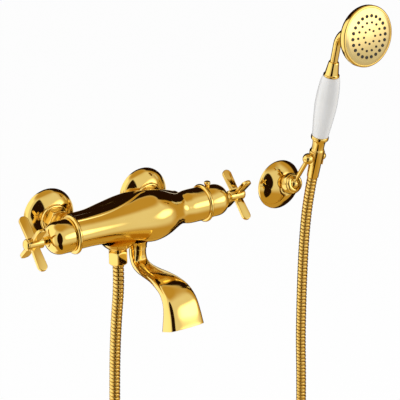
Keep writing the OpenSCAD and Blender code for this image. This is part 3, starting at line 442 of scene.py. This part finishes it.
body_bm = turned([(0, -80)] + belly + [(23.4, 108), (23.4, 112), (23.4, 120), (0, 120)],
    Matrix.Identity(4), steps=360)
for v in body_bm.verts:
    out = Vector((v.co.x, v.co.y)) / MM
    if out.length < 1:
        continue
    towards_wall = out.y / out.length
    inside = channel_reach(v.co.z / MM) ** 2 - CHANNEL_BACK ** 2 * (1 - towards_wall ** 2)
    reach = CHANNEL_BACK * towards_wall + math.sqrt(inside) if inside > 0 else 0
    near = max(0, CREASE - abs(out.length - reach)) / CREASE
    wide = max(out.length, reach) + near * near * CREASE / 4
    wide += shoulder(v.co.z / MM, towards_wall, -out.x / out.length)
    v.co.x, v.co.y = out.x / out.length * wide * MM, out.y / out.length * wide * MM
bmesh.ops.transform(body_bm, matrix=body_axis, verts=body_bm.verts)
print("belly", len(body_bm.faces), "faces")

# %% Nose of the channel, bosses and outlets
def carved(bm, tool):
    objects = []
    for part in (bm, tool):
        mesh = bpy.data.meshes.new("carving")
        part.to_mesh(mesh)
        part.free()
        objects.append(bpy.data.objects.new("carving", mesh))
        scene.collection.objects.link(objects[-1])
    cut = objects[0].modifiers.new("cut", "BOOLEAN")
    cut.operation = "DIFFERENCE"
    cut.object = objects[1]
    bpy.context.view_layer.update()
    mesh = bpy.data.meshes.new_from_object(objects[0].evaluated_get(bpy.context.evaluated_depsgraph_get()))
    result = bmesh.new()
    result.from_mesh(mesh)
    for old in objects:
        bpy.data.objects.remove(old)
    bpy.data.meshes.remove(mesh)
    return result

channel_axis = body_axis @ Matrix.Translation((0, CHANNEL_BACK * MM, 0))
nose = turned([(0, -90)] + hollow((0, -90), (19.5, -75), 16) + [(19.6, -72), (0, -72)], channel_axis)
room = turned([(0, -80), (27, -80), (27, -120), (0, -120)], body_axis)
nose = ease(carved(nose, room), 0.4, 2, 50)

def boss(place, radius, low, high, flare, flare_from):
    side = [(radius, low), (radius, flare_from)] + quarter((radius, flare_from), (flare, high), 12)
    return ease(turned([(0, low)] + side + [(0, high)], place), 0.4, 2, 60)

inlet_bosses = [boss(place, 15.5, 34, 46, 18, 37.5) for place in (left_inlet, right_inlet)]
spout_boss = boss(axis_frame(spout_at.translation), 12.6, 0, 13, 19, 1)
outlet_boss = turned([(0, -36.6), (10, -36.6)] + through([(11, -36.2), (14, -34.6), (18, -31.6), (21.6, -28), (25, -23.5)], 6)
    + [(0, -20)], outlet)
mixer_body = shown(joined(body_bm, nose, *inlet_bosses, spout_boss, outlet_boss), "mixer_body_cast", "mixer",
    polished_gold, ["mixer_body"])

# %% [markdown]
# ## Trim rings and bonnets
# A half-round ring closes each end of the casting, and a hollow bonnet covers the valve
# and turns with its handle. Both are spun from closed sections, so they have real walls.

# %% Rings and bonnets
def trim_ring():
    bead = [(23.7 + 3 * math.cos(a), 3 * math.sin(a)) for a in [math.pi * (k / 24 - 0.5) for k in range(25)]]
    return [(19.55, -3)] + bead + [(19.55, 3)]

def bonnet():
    dome = quarter((22.3, 20), (7, 37), 28)
    inner = [(4.3 + 15.8 * math.cos(a), 20 + 12.6 * math.sin(a)) for a in [math.pi / 2 * k / 12 for k in range(11, -1, -1)]]
    return [(20.1, 3.3), (22.3, 3.3), (22.3, 20)] + dome + [(4.3, 37), (4.3, 32.6)] + inner

for side, ring_frame, body in (("flow", left_ring, "flow_control"), ("temperature", right_ring, "temperature_control")):
    shown(ease(turned(trim_ring(), ring_frame, closed=True), 0.2, 2, 50), side + "_ring_turned", "mixer",
        polished_gold, [side + "_ring"])
    shown(ease(turned(bonnet(), ring_frame, 128, closed=True), 0.35, 2, 50), side + "_bonnet_turned", body,
        polished_gold, [side + "_bonnet"])

# %% [markdown]
# ## Cross handles
# Four blades with round tips grow out of a turned hub and stand edge on to the user. Each
# starts as a flat disc at the tip whose inner half is pulled back to the hub, and is
# extruded to a slab that thins outwards. A wide bevel gives the soft edges of a forging.

# %% Cross handles and their caps
ARM_PLANE = 57.5
def cross_arm(turn):
    bm = bmesh.new()
    bmesh.ops.create_circle(bm, cap_ends=True, segments=32, radius=6.6 * MM)
    for v in bm.verts:
        if v.co.x < -1e-6:
            v.co = (-33 * MM, math.copysign(5.4 * MM, v.co.y) * min(1, abs(v.co.y) / (3 * MM)), 0)
        v.co.x += 33 * MM
    bmesh.ops.remove_doubles(bm, verts=bm.verts, dist=1e-6)
    top = bmesh.ops.extrude_face_region(bm, geom=bm.faces[:])
    raised = [v for v in top["geom"] if isinstance(v, bmesh.types.BMVert)]
    for v in bm.verts:
        thick = 3.125 - 0.78 * v.co.x / (39.5 * MM)
        v.co.z = thick * MM if v in raised else -thick * MM
    bmesh.ops.recalc_face_normals(bm, faces=bm.faces)
    ease(bm, 1.5, 4, 50)
    edge_on = axis_frame((0, 0, ARM_PLANE * MM), 90)
    bmesh.ops.transform(bm, matrix=Matrix.Rotation(math.radians(turn), 4, "Z") @ edge_on, verts=bm.verts)
    return bm

def handle_hub():
    return [(4.05, 37), (5.5, 37), (5.5, 42), (6.2, 43.4), (7.1, 44), (8.1, 45), (8.1, 65.2), (7.3, 66), (5.95, 66),
        (5.95, 62.9), (4.05, 62.9)]

for side, ring_frame, body in (("flow", left_ring, "flow_control"), ("temperature", right_ring, "temperature_control")):
    hub = ease(turned(handle_hub(), Matrix.Identity(4), closed=True), 0.3)
    handle = joined(hub, *[cross_arm(a) for a in (45, 135, 225, 315)])
    bmesh.ops.transform(handle, matrix=ring_frame, verts=handle.verts)
    shown(handle, side + "_handle_forged", body, polished_gold, [side + "_handle"])
    dome = [(0, 63), (5.9, 63), (5.9, 66), (8, 66)] + quarter((8, 66), (0, 71), 16)
    shown(ease(turned(dome, ring_frame), 0.3), side + "_cap_domed", body, polished_gold, [side + "_handle_cap"])

# %% [markdown]
# ## Safety button
# A small button stands on the temperature bonnet and slides into it when the stop at
# the safe temperature is passed.

# %% Safety button
button_frame = axis_frame(Vector((middle("safety_button").x, middle("safety_button").y, 0)))
button = [(0, 16.3), (3.4, 16.3), (3.4, 25.8), (4.4, 25.8), (4.4, 28.8)] + quarter((4.4, 28.8), (0, 30.8), 12)
shown(ease(turned(button, button_frame, 48), 0.3), "safety_button_turned", "safety_stop", polished_gold,
    ["safety_button"])

# %% [markdown]
# ## Wall connections
# Domed rosettes cover the holes in the wall, and a union nut holds the mixer to each
# pipe. The rosettes are thin shells, as pressed ones are.

# %% Rosettes and union nuts
def cap_of_sphere(ball, rim, start, end, steps):
    radii = [start + (end - start) * k / steps for k in range(steps + 1)]
    return [(r, rim + math.sqrt(ball ** 2 - r ** 2) - math.sqrt(ball ** 2 - start ** 2)) for r in radii]

def rosette():
    rim = [(25.2 + 12.3 * math.sin(a), 12.3 * math.cos(a)) for a in [math.radians(90 - 50.6 * k / 12) for k in range(13)]]
    dome = rim + cap_of_sphere(52, rim[-1][1], rim[-1][0], 20.4, 20)[1:]
    inner = [(17 + 18.7 * math.cos(a), 2.5 + 12.7 * math.sin(a)) for a in [math.pi / 2 * k / 14 for k in range(13, -1, -1)]]
    return [(35.7, 0)] + dome + [(19.8, 17), (19.2, 17.6), (18.9, 19.5), (18.2, 20), (13.3, 20), (13.3, 15.2)] + inner

for side, inlet in (("left", left_inlet), ("right", right_inlet)):
    shown(ease(turned(rosette(), inlet, 128, closed=True), 0.4, 3, 50), side + "_rosette_pressed", "mixer",
        polished_gold, [side + "_rosette"])
    shown(hex_nut(inlet, 30, 20.4, 33.6, 15.2, 3), side + "_union_nut_milled", "mixer", polished_gold,
        [side + "_union_nut"])

# %% [markdown]
# ## Spout
# The spout leaves the casting as a round stem, runs forward as a flattening bar and turns
# down into a wide, nearly square mouth. A straight tube is spun first, one ring for each
# step along the spine, and each ring is then laid on its section of the spout.

# %% Spout
spout_line = through([(0, 0, 23, 23), (0, 11, 22.5, 22), (5, 21, 23, 18), (17, 25.4, 25, 14), (35, 25.6, 28.5, 12),
    (55, 24.8, 33, 12), (73, 26, 38, 13), (90, 30.4, 42.5, 15), (102, 40.4, 46.5, 18.5), (108, 55, 49.5, 23),
    (111, 76, 54, 28)], 8)
SPOUT_WALL = 2.2
MOUTH_RISE = 7
SPOUT_CROWN = 2.5
last_ring = len(spout_line) - 1
rings = [(1, k) for k in range(last_ring + 1)] + [(0.5, k) for k in range(last_ring, -1, -1)]
spout_bm = turned(rings, Matrix.Identity(4), steps=96, closed=True)

def squared(value, power):
    return math.copysign(abs(value) ** power, value)

for v in spout_bm.verts:
    k = round(v.co.z / MM)
    wall = 0 if Vector(v.co.xy).length > 0.75 * MM else SPOUT_WALL
    out, down, width, thick = spout_line[k]
    run = (spout_line[min(k + 1, last_ring)] - spout_line[k - 1]).xy.normalized() if k else Vector((0, 1))
    turn = math.atan2(v.co.y, v.co.x)
    power = 1 - 0.62 * (k / last_ring) ** 0.7
    across_bar = (width / 2 - wall) * squared(math.cos(turn), power)
    through_bar = (thick / 2 - wall) * squared(math.sin(turn), power)
    if through_bar > 0:
        through_bar += SPOUT_CROWN * (k / last_ring) ** 2 * (1 - (2 * across_bar / width) ** 2)
    rise = MOUTH_RISE * max(0, (k - last_ring + 8) / 8) / thick
    v.co = spout_at @ (Vector((across_bar, -out - through_bar * run.y,
        -down + through_bar * (run.x + rise * run.y))) * MM)
bmesh.ops.recalc_face_normals(spout_bm, faces=spout_bm.faces)
shown(ease(spout_bm, 0.5, 3, 55), "spout_formed", "mixer", polished_gold, ["spout"], smooth=50)

# %% [markdown]
# ## Wall bracket
# A bell-shaped rosette carries a tilted cup. The cup holds a ball under a retaining ring,
# and a thin rod runs from the ball to the knob on which the holder pivots.

# %% Bracket rosette, cup and ring
def bell(shrink):
    rim = 37.5 - shrink
    return [(rim, 0)] + cap_of_sphere(46 - shrink, 2.5, rim, 13, 32) + [(12, 19.9 - shrink)]

def ball_side(radius, start, end, steps=14):
    turns = [math.radians(start + (end - start) * k / steps) for k in range(steps + 1)]
    return [(radius * math.cos(a), 40.5 + radius * math.sin(a)) for a in turns]

shown(ease(turned(bell(0) + [(7.5, 19.9), (7.5, 17.9)] + bell(2)[::-1], bracket_wall, 128, closed=True), 0.4, 3, 50),
    "bracket_rosette_pressed", "mixer", polished_gold, ["bracket_rosette"])
cup = [(0, 10), (9.6, 10), (9.6, 20), (8.4, 20.4), (8.4, 21.2), (9.6, 21.6), (9.6, 22.8), (8.4, 23.2), (8.4, 24),
    (9.6, 24.4), (9.6, 25)] + hollow((9.6, 25), (16, 32)) + [(16, 33)] + quarter((16, 33), (13.6, 40.5))
shown(ease(turned(cup + ball_side(9.3, 0, -90), bracket_nose), 0.2, 2, 40), "bracket_cup_turned", "mixer",
    polished_gold, ["bracket_cup"])
ring = [(13.6, 40.5), (13.6, 41.2)] + quarter((13.6, 41.2), (9.4, 44.9)) + [(8.6, 44.9)]
shown(ease(turned(ring + ball_side(9.3, 27, 0), bracket_nose, closed=True), 0.2, 2, 50), "retaining_ring_turned", "mixer",
    polished_gold, ["retaining_ring"])

# %% Ball, rod and knob
SLEEVE = 11.3
KNOB_SIDE = SLEEVE + 3.5
KNOB_UP = 33
ball_at = bracket_nose @ Vector((0, 0, 40.5 * MM))
knob_at = handset @ Vector((-KNOB_SIDE * MM, 0, KNOB_UP * MM))
rod = knob_at - ball_at
rod_frame = Matrix.Translation(ball_at) @ rod.to_track_quat("Z", "Y").to_matrix().to_4x4()
ball = [(9 * math.cos(a), 9 * math.sin(a)) for a in [math.radians(-90 + 150 * k / 36) for k in range(37)]]
ball_and_rod = turned([(0, -9)] + ball[1:] + hollow((4.5, 7.8), (2.9, 10.5), 8) + [(2.9, 15), (3.4, 20), (3.4, rod.length / MM), (0, rod.length / MM)],
    rod_frame, 64)
knob_frame = Matrix.Translation(knob_at) @ Matrix.Rotation(math.pi / 2, 4, "Y")
KNOB_TRIM = 3.2
KNOB = 8.2
knob_top = math.degrees(math.asin(KNOB_TRIM / KNOB))
knob = [(KNOB * math.cos(a), KNOB * math.sin(a)) for a in [math.radians(-90 + (90 + knob_top) * k / 30) for k in range(31)]]
knob_bm = ease(turned([(0, -KNOB)] + knob[1:] + [(0, KNOB_TRIM)], knob_frame, 64), 0.3, 2, 40)
shown(joined(ball_and_rod, knob_bm), "bracket_arm_turned", "arm", polished_gold, ["bracket_arm"])

# %% Holder with its open front
def cone_at(z):
    return 8.6 + 1.2 * z / 46

SLOT_HALF = math.asin(8.2 / 10.5)
sleeve = [(cone_at(22) + 0.3, 22), (SLEEVE - 0.6, 22), (SLEEVE, 22.6), (SLEEVE, 43.4), (SLEEVE - 0.6, 44),
    (cone_at(44) + 0.3, 44)]
sleeve_bm = turned(sleeve, handset @ Matrix.Rotation(SLOT_HALF - math.pi / 2, 4, "Z"), 72, closed=True,
    angle=math.tau - 2 * SLOT_HALF)
bmesh.ops.holes_fill(sleeve_bm, edges=[e for e in sleeve_bm.edges if e.is_boundary], sides=0)
bmesh.ops.recalc_face_normals(sleeve_bm, faces=sleeve_bm.faces)
ease(sleeve_bm, 0.3, 2, 40)
stud_frame = handset @ Matrix.Translation(((SLEEVE - 0.5) * MM, 0, KNOB_UP * MM)) @ Matrix.Rotation(math.pi / 2, 4, "Y")
stud = [(6 * math.cos(a), 6 * math.sin(a)) for a in [math.pi / 2 * k / 16 for k in range(17)]]
pin_frame = handset @ Matrix.Translation((-(SLEEVE + 0.5) * MM, 0, KNOB_UP * MM)) @ Matrix.Rotation(math.pi / 2, 4, "Y")
pin = turned([(0, -2), (3, -2), (3, 0.8), (0, 0.8)], pin_frame, 32)
shown(joined(sleeve_bm, turned([(0, -1), (5.9, -1)] + stud, stud_frame, 64), pin), "handset_holder_formed", "holder",
    polished_gold, ["handset_holder"])

# %% [markdown]
# ## Hand shower
# The handle is glazed ceramic on a brass core, held between two turned ferrules. The
# ferrules and the handle are spun, and the neck is a circle carried straight and then
# spun about the centre of its bend.

# %% White glaze
def glaze(name):
    finish, tree, shader = new_finish(name)
    tree.links.new(ramp(tree, noise(tree, 30, 5), (0.86, 0.86, 0.85), (0.9, 0.9, 0.895)), shader.inputs["Base Color"])
    tree.links.new(between(tree, noise(tree, 70, 4), 0.12, 0.2), shader.inputs["Roughness"])
    shader.inputs["Specular IOR Level"].default_value = 0.3
    shader.inputs["Coat Weight"].default_value = 0.15
    shader.inputs["Coat Roughness"].default_value = 0.04
    relief(tree, noise(tree, 55, 2), shader, 0.1, 0.0002)
    return finish

white_glaze = glaze("white_glaze")

# %% Ferrules and ceramic handle
lower = [(5, 36), (7.5, 36), (7.5, 46), (9.3, 46), (9.8, 46.6), (9, 47.4), (9, 51)] + quarter((9, 51), (11.4, 62.8))
lower += hollow((11.4, 62.8), (13, 65), 10) + [(13, 67)] + quarter((13, 67), (12, 69), 8)
lower += [(7.05, 69), (7.05, 63), (5, 63)]
shown(ease(turned(lower, handset, closed=True), 0.25, 3, 40), "lower_ferrule_turned", "hand_shower", polished_gold,
    ["lower_ferrule"])
ceramic = through([(11.9, 69), (14.3, 93), (15.9, 113.2), (16.2, 124.7), (15.6, 141), (14.2, 155.4), (12, 165)], 10)
shown(ease(turned([(7.2, 69)] + ceramic + [(7.2, 165)], handset, closed=True), 0.6, 3, 50), "ceramic_handle_glazed",
    "hand_shower", white_glaze, ["ceramic_handle"])
upper = [(7.05, 165), (10.8, 165), (11.6, 165.8), (11.6, 167.4), (10.2, 168.4)]
upper += through([(10, 169), (9.1, 175), (8.3, 181), (7.6, 186)], 6) + [(6.8, 187.5), (5.65, 187.5), (5.65, 175), (4.5, 175),
    (4.5, 171), (7.05, 171)]
shown(ease(turned(upper, handset, closed=True), 0.3, 3, 40), "upper_ferrule_turned", "hand_shower", polished_gold,
    ["upper_ferrule"])

# %% Neck tube
neck = bmesh.new()
bmesh.ops.create_circle(neck, cap_ends=False, segments=64, radius=5.6 * MM)
bmesh.ops.translate(neck, verts=neck.verts, vec=(0, 0, 175 * MM))
straight = bmesh.ops.extrude_edge_only(neck, edges=neck.edges[:])["geom"]
bmesh.ops.translate(neck, verts=[v for v in straight if isinstance(v, bmesh.types.BMVert)],
    vec=(0, 0, (NECK_BEND_START - 175) * MM))
bmesh.ops.spin(neck, geom=[g for g in straight if not isinstance(g, bmesh.types.BMFace)],
    cent=(0, -NECK_BEND * MM, NECK_BEND_START * MM), axis=(1, 0, 0), angle=neck_swing, steps=36)
bmesh.ops.remove_doubles(neck, verts=neck.verts, dist=1e-6)
bmesh.ops.holes_fill(neck, edges=[e for e in neck.edges if e.is_boundary], sides=0)
bmesh.ops.recalc_face_normals(neck, faces=neck.faces)
bmesh.ops.transform(neck, matrix=handset, verts=neck.verts)
shown(neck, "neck_tube_bent", "hand_shower", polished_gold, ["neck_tube"])

# %% Head shell
HEAD_RIM = 42.5
back = [(9.4 + 33.1 * math.sin(a), 1 + 15 * (1 - math.cos(a))) for a in [math.pi / 2 * k / 30 for k in range(1, 31)]]
shell = [(4.4, -16), (5.6, -16), (5.6, -3.5)] + quarter((5.6, -3.5), (9.4, 1), 12) + back + [(HEAD_RIM, 20)]
shell += quarter((HEAD_RIM, 20), (39.55, 22), 8) + [(39.55, 19.45), (36.5, 19.45), (36.5, 16), (4.4, 3)]
shown(ease(turned(shell, head, 128, closed=True), 0.2, 2, 50), "head_shell_spun", "hand_shower", polished_gold,
    ["head_shell"])

# %% [markdown]
# ## Spray face
# The plate is satin rather than mirror bright, and small rubber nozzles stand in three
# rings, the outer ones larger. The nozzles are one small turned shape, repeated.

# %% Plate and nozzles
plate_gold = gold_plate("plate_gold", (0.59, 0.445, 0.18), (0.64, 0.485, 0.21), (0.12, 0.18), 500, 0.00006)
def plate_front(r):
    return 22.8 + 1.4 * (1 - (r / 35.5) ** 2)

plate = [(0, 19.5), (39.5, 19.5), (39.5, 21.9), (38.4, 22.1)] + [(r, plate_front(r)) for r in (35.5, 30, 24, 18, 12, 6, 0)]
shown(ease(turned(plate, head, 128), 0.35, 3, 8), "spray_plate_turned", "hand_shower", plate_gold,
    ["spray_plate"])

def rubber(name):
    finish, tree, shader = new_finish(name)
    tree.links.new(ramp(tree, noise(tree, 300, 4), (0.016, 0.013, 0.01), (0.032, 0.028, 0.022)), shader.inputs["Base Color"])
    tree.links.new(between(tree, noise(tree, 500, 4), 0.45, 0.65), shader.inputs["Roughness"])
    relief(tree, noise(tree, 900, 3), shader, 0.2, 0.0001)
    return finish

dark_rubber = rubber("dark_rubber")
nozzles = []
for ring_r, count, r in ((28.4, 22, 2.2), (19.5, 14, 1.6), (9.7, 8, 1.45)):
    for k in range(count):
        spot = Matrix.Rotation(math.tau * k / count, 4, "Z") @ Matrix.Translation((ring_r * MM, 0, 0))
        base = plate_front(ring_r) - 0.3
        nozzles.append(turned([(0, base), (1.15 * r, base), (1.05 * r, base + 0.9), (0.8 * r, base + 1.1), (0.5 * r, base + 1),
            (0.4 * r, base + 0.4), (0, base + 0.4)], head @ spot, 12))
shown(joined(*nozzles), "spray_nozzles_moulded", "hand_shower", dark_rubber, ["spray_nozzles"])

# %% [markdown]
# ## Solids that stay
# What is left of the solids is mostly hidden: valves, unions, washers and cores. They
# keep their own meshes and get plain working finishes.

# %% Finishes for the solids that stay
def plain(name, low, high, rough, metal):
    finish, tree, shader = new_finish(name)
    shader.inputs["Metallic"].default_value = metal
    tree.links.new(ramp(tree, noise(tree, 150, 4), low, high), shader.inputs["Base Color"])
    tree.links.new(between(tree, noise(tree, 260, 5), *rough), shader.inputs["Roughness"])
    relief(tree, noise(tree, 800, 2), shader, 0.15, 0.00008)
    return finish

ground_steel = plain("ground_steel", (0.42, 0.42, 0.42), (0.52, 0.52, 0.51), (0.22, 0.34), 1)
seat_nylon = plain("seat_nylon", (0.62, 0.60, 0.54), (0.70, 0.68, 0.61), (0.4, 0.55), 0)
kept = {"flow_cartridge": plain_brass, "thermostatic_cartridge": plain_brass, "flow_spindle": ground_steel,
    "temperature_spindle": ground_steel, "left_wall_union": plain_brass, "right_wall_union": plain_brass,
    "left_union_washer": dark_rubber, "right_union_washer": dark_rubber, "left_inlet_tail": plain_brass,
    "right_inlet_tail": plain_brass, "spout_nipple": plain_brass, "hose_nipple": polished_gold, "bracket_base": plain_brass,
    "ball_seat": seat_nylon, "handle_core_tube": plain_brass}
for name, finish in kept.items():
    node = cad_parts[name]
    if not node.material_slots:
        node.data.materials.append(finish)
    for place in node.material_slots:
        place.material = finish
print(len(kept), "solids kept")

# %% [markdown]
# ## Studio
# Polished metal is only as good as what it mirrors. The room is white, and cards that only
# reflections see stand around the mixer: dark ones by the camera and behind it on the
# right, warm ones above, below and beside it, and bright ones to the left and the front.
# Their edges are feathered, so a highlight fades as it does from a silk.

# %% Floor
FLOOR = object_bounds()[0][2] - 0.015
aim = Vector((0.1, -0.08, 0.0))

def stage_mesh(name, bm, finish):
    mesh = bpy.data.meshes.new(name)
    bm.to_mesh(mesh)
    bm.free()
    mesh.materials.append(finish)
    thing = bpy.data.objects.new(name, mesh)
    scene.collection.objects.link(thing)
    return thing

def studio_white():
    finish = bpy.data.materials.new("studio_white")
    finish.use_nodes = True
    finish.cycles.emission_sampling = "NONE"
    tree = finish.node_tree
    tree.nodes.clear()
    matt = tree.nodes.new("ShaderNodeBsdfDiffuse")
    matt.inputs["Color"].default_value = (0.95, 0.95, 0.95, 1)
    glow = tree.nodes.new("ShaderNodeEmission")
    rays = tree.nodes.new("ShaderNodeLightPath")
    seen = tree.nodes.new("ShaderNodeMath")
    seen.operation = "MULTIPLY"
    seen.inputs[1].default_value = 0.95
    either = tree.nodes.new("ShaderNodeMath")
    either.operation = "MAXIMUM"
    tree.links.new(rays.outputs["Is Camera Ray"], either.inputs[0])
    tree.links.new(rays.outputs["Is Glossy Ray"], either.inputs[1])
    tree.links.new(either.outputs["Value"], seen.inputs[0])
    mix = tree.nodes.new("ShaderNodeMixShader")
    out = tree.nodes.new("ShaderNodeOutputMaterial")
    tree.links.new(seen.outputs["Value"], mix.inputs["Fac"])
    tree.links.new(matt.outputs["BSDF"], mix.inputs[1])
    tree.links.new(glow.outputs["Emission"], mix.inputs[2])
    tree.links.new(mix.outputs["Shader"], out.inputs["Surface"])
    return finish

floor_bm = bmesh.new()
bmesh.ops.create_grid(floor_bm, x_segments=2, y_segments=2, size=9)
bmesh.ops.translate(floor_bm, verts=floor_bm.verts, vec=(0, 0, FLOOR))
stage_mesh("studio_floor", floor_bm, studio_white())

# %% World
world = bpy.data.worlds.new("studio_world")
world.use_nodes = True
scene.world = world
sky = world.node_tree
sky.nodes.clear()
ray = sky.nodes.new("ShaderNodeLightPath")
mirrored = sky.nodes.new("ShaderNodeMath")
mirrored.operation = "MAXIMUM"
sky.links.new(ray.outputs["Is Camera Ray"], mirrored.inputs[0])
sky.links.new(ray.outputs["Is Glossy Ray"], mirrored.inputs[1])
clear = sky.nodes.new("ShaderNodeMath")
clear.operation = "MAXIMUM"
sky.links.new(mirrored.outputs["Value"], clear.inputs[0])
sky.links.new(ray.outputs["Is Transmission Ray"], clear.inputs[1])
white = sky.nodes.new("ShaderNodeBackground")
fill = sky.nodes.new("ShaderNodeBackground")
fill.inputs["Strength"].default_value = 0.62
white.inputs["Strength"].default_value = 1
for shade in (white, fill):
    shade.inputs["Color"].default_value = (1, 1, 1, 1)
both = sky.nodes.new("ShaderNodeMixShader")
sky.links.new(clear.outputs["Value"], both.inputs["Fac"])
sky.links.new(fill.outputs["Background"], both.inputs[1])
sky.links.new(white.outputs["Background"], both.inputs[2])
sky_out = sky.nodes.new("ShaderNodeOutputWorld")
sky.links.new(both.outputs["Shader"], sky_out.inputs["Surface"])

# %% Feathered cards
def towards(azimuth, height):
    a, e = math.radians(azimuth), math.radians(height)
    return Vector((math.cos(e) * math.sin(a), -math.cos(e) * math.cos(a), math.sin(e)))

def card_finish(name, colour, strength):
    finish = bpy.data.materials.new(name)
    finish.use_nodes = True
    finish.cycles.emission_sampling = "NONE"
    tree = finish.node_tree
    tree.nodes.clear()
    glow = tree.nodes.new("ShaderNodeEmission")
    glow.inputs["Color"].default_value = (*colour, 1)
    glow.inputs["Strength"].default_value = strength
    through_it = tree.nodes.new("ShaderNodeBsdfTransparent")
    soft = tree.nodes.new("ShaderNodeAttribute")
    soft.attribute_name = "soft"
    mix = tree.nodes.new("ShaderNodeMixShader")
    out = tree.nodes.new("ShaderNodeOutputMaterial")
    tree.links.new(soft.outputs["Fac"], mix.inputs["Fac"])
    tree.links.new(through_it.outputs["BSDF"], mix.inputs[1])
    tree.links.new(glow.outputs["Emission"], mix.inputs[2])
    tree.links.new(mix.outputs["Shader"], out.inputs["Surface"])
    return finish

def reflector(name, bm, colour, strength):
    thing = stage_mesh(name, bm, card_finish(name, colour, strength))
    thing.visible_camera = thing.visible_diffuse = thing.visible_transmission = thing.visible_shadow = False

def card(name, azimuth, height, colour, feather, distance, strength=1.0, oval=False):
    bm = bmesh.new()
    bmesh.ops.create_grid(bm, x_segments=56, y_segments=56, size=1)
    soft = bm.verts.layers.float.new("soft")
    wide, tall = azimuth[1] - azimuth[0], height[1] - height[0]
    for v in bm.verts:
        u, w = (v.co.x + 1) / 2, (v.co.y + 1) / 2
        sides = [u * wide, (1 - u) * wide] if wide < 360 else []
        sides += [w * tall] if height[0] > -90 else []
        sides += [(1 - w) * tall] if height[1] < 90 else []
        if oval:
            sides = [(1 - math.hypot(v.co.x, v.co.y)) * min(wide, tall) / 2]
        shares = [min(1.0, max(0.0, side / feather)) for side in sides]
        v[soft] = math.prod(share * share * (3 - 2 * share) for share in shares)
        way = towards(azimuth[0] + wide * u, height[0] + tall * w)
        reach = min(distance, (FLOOR + 0.02 - 0.008 * distance) / way.z if way.z < -0.01 else distance)
        v.co = aim + way * reach
    reflector(name, bm, colour, strength)

WARM = (0.64, 0.43, 0.12)
BLACK = (0.02, 0.008, 0.003)
card("card_below", (-180, 180), (-90, -14), WARM, 28, 1.9)
card("card_above", (-180, 180), (44, 90), WARM, 24, 1.9)
card("card_right", (52, 112), (-44, 68), WARM, 24, 1.8)
card("silk_left", (-170, -74), (-66, 58), (1, 0.99, 0.96), 14, 1.7, 1.5)
card("silk_front", (4, 70), (-6, 30), (1, 0.98, 0.94), 11, 1.6, 3.2, oval=True)
card("flag_behind", (86, 200), (-52, 60), BLACK, 6, 1.5)
card("flag_camera", (-59, -11), (-32, 50), BLACK, 3, 1.4, oval=True)
card("flag_low", (-54, -16), (-68, -8), BLACK, 3, 1.35, oval=True)

wall_bm = bmesh.new()
bmesh.ops.create_grid(wall_bm, x_segments=24, y_segments=12, size=1)
wall_soft = wall_bm.verts.layers.float.new("soft")
for v in wall_bm.verts:
    v[wall_soft] = min(1, 6 * (1 - abs(v.co.x))) * min(1, 3 * (1 - abs(v.co.y)))
    v.co = (0.06 + 0.3 * v.co.x, 0.03, -0.02 + 0.04 * v.co.y)
reflector("card_wall", wall_bm, (1, 0.94, 0.8), 1)

# %% Lamps
def strip(name, azimuth, height, distance, width, tall, watts):
    lamp = bpy.data.lights.new(name, "AREA")
    lamp.shape = "RECTANGLE"
    lamp.size, lamp.size_y, lamp.energy = width, tall, watts
    box = bpy.data.objects.new(name, lamp)
    box.location = aim + towards(azimuth, height) * distance
    box.rotation_euler = towards(azimuth, height).to_track_quat("Z", "Y").to_euler()
    box.visible_glossy = False
    scene.collection.objects.link(box)
    return box

strip("strip_left", -115, 20, 1.7, 0.8, 1.2, 12)
strip("strip_right", 75, 20, 1.7, 0.8, 1.2, 12)
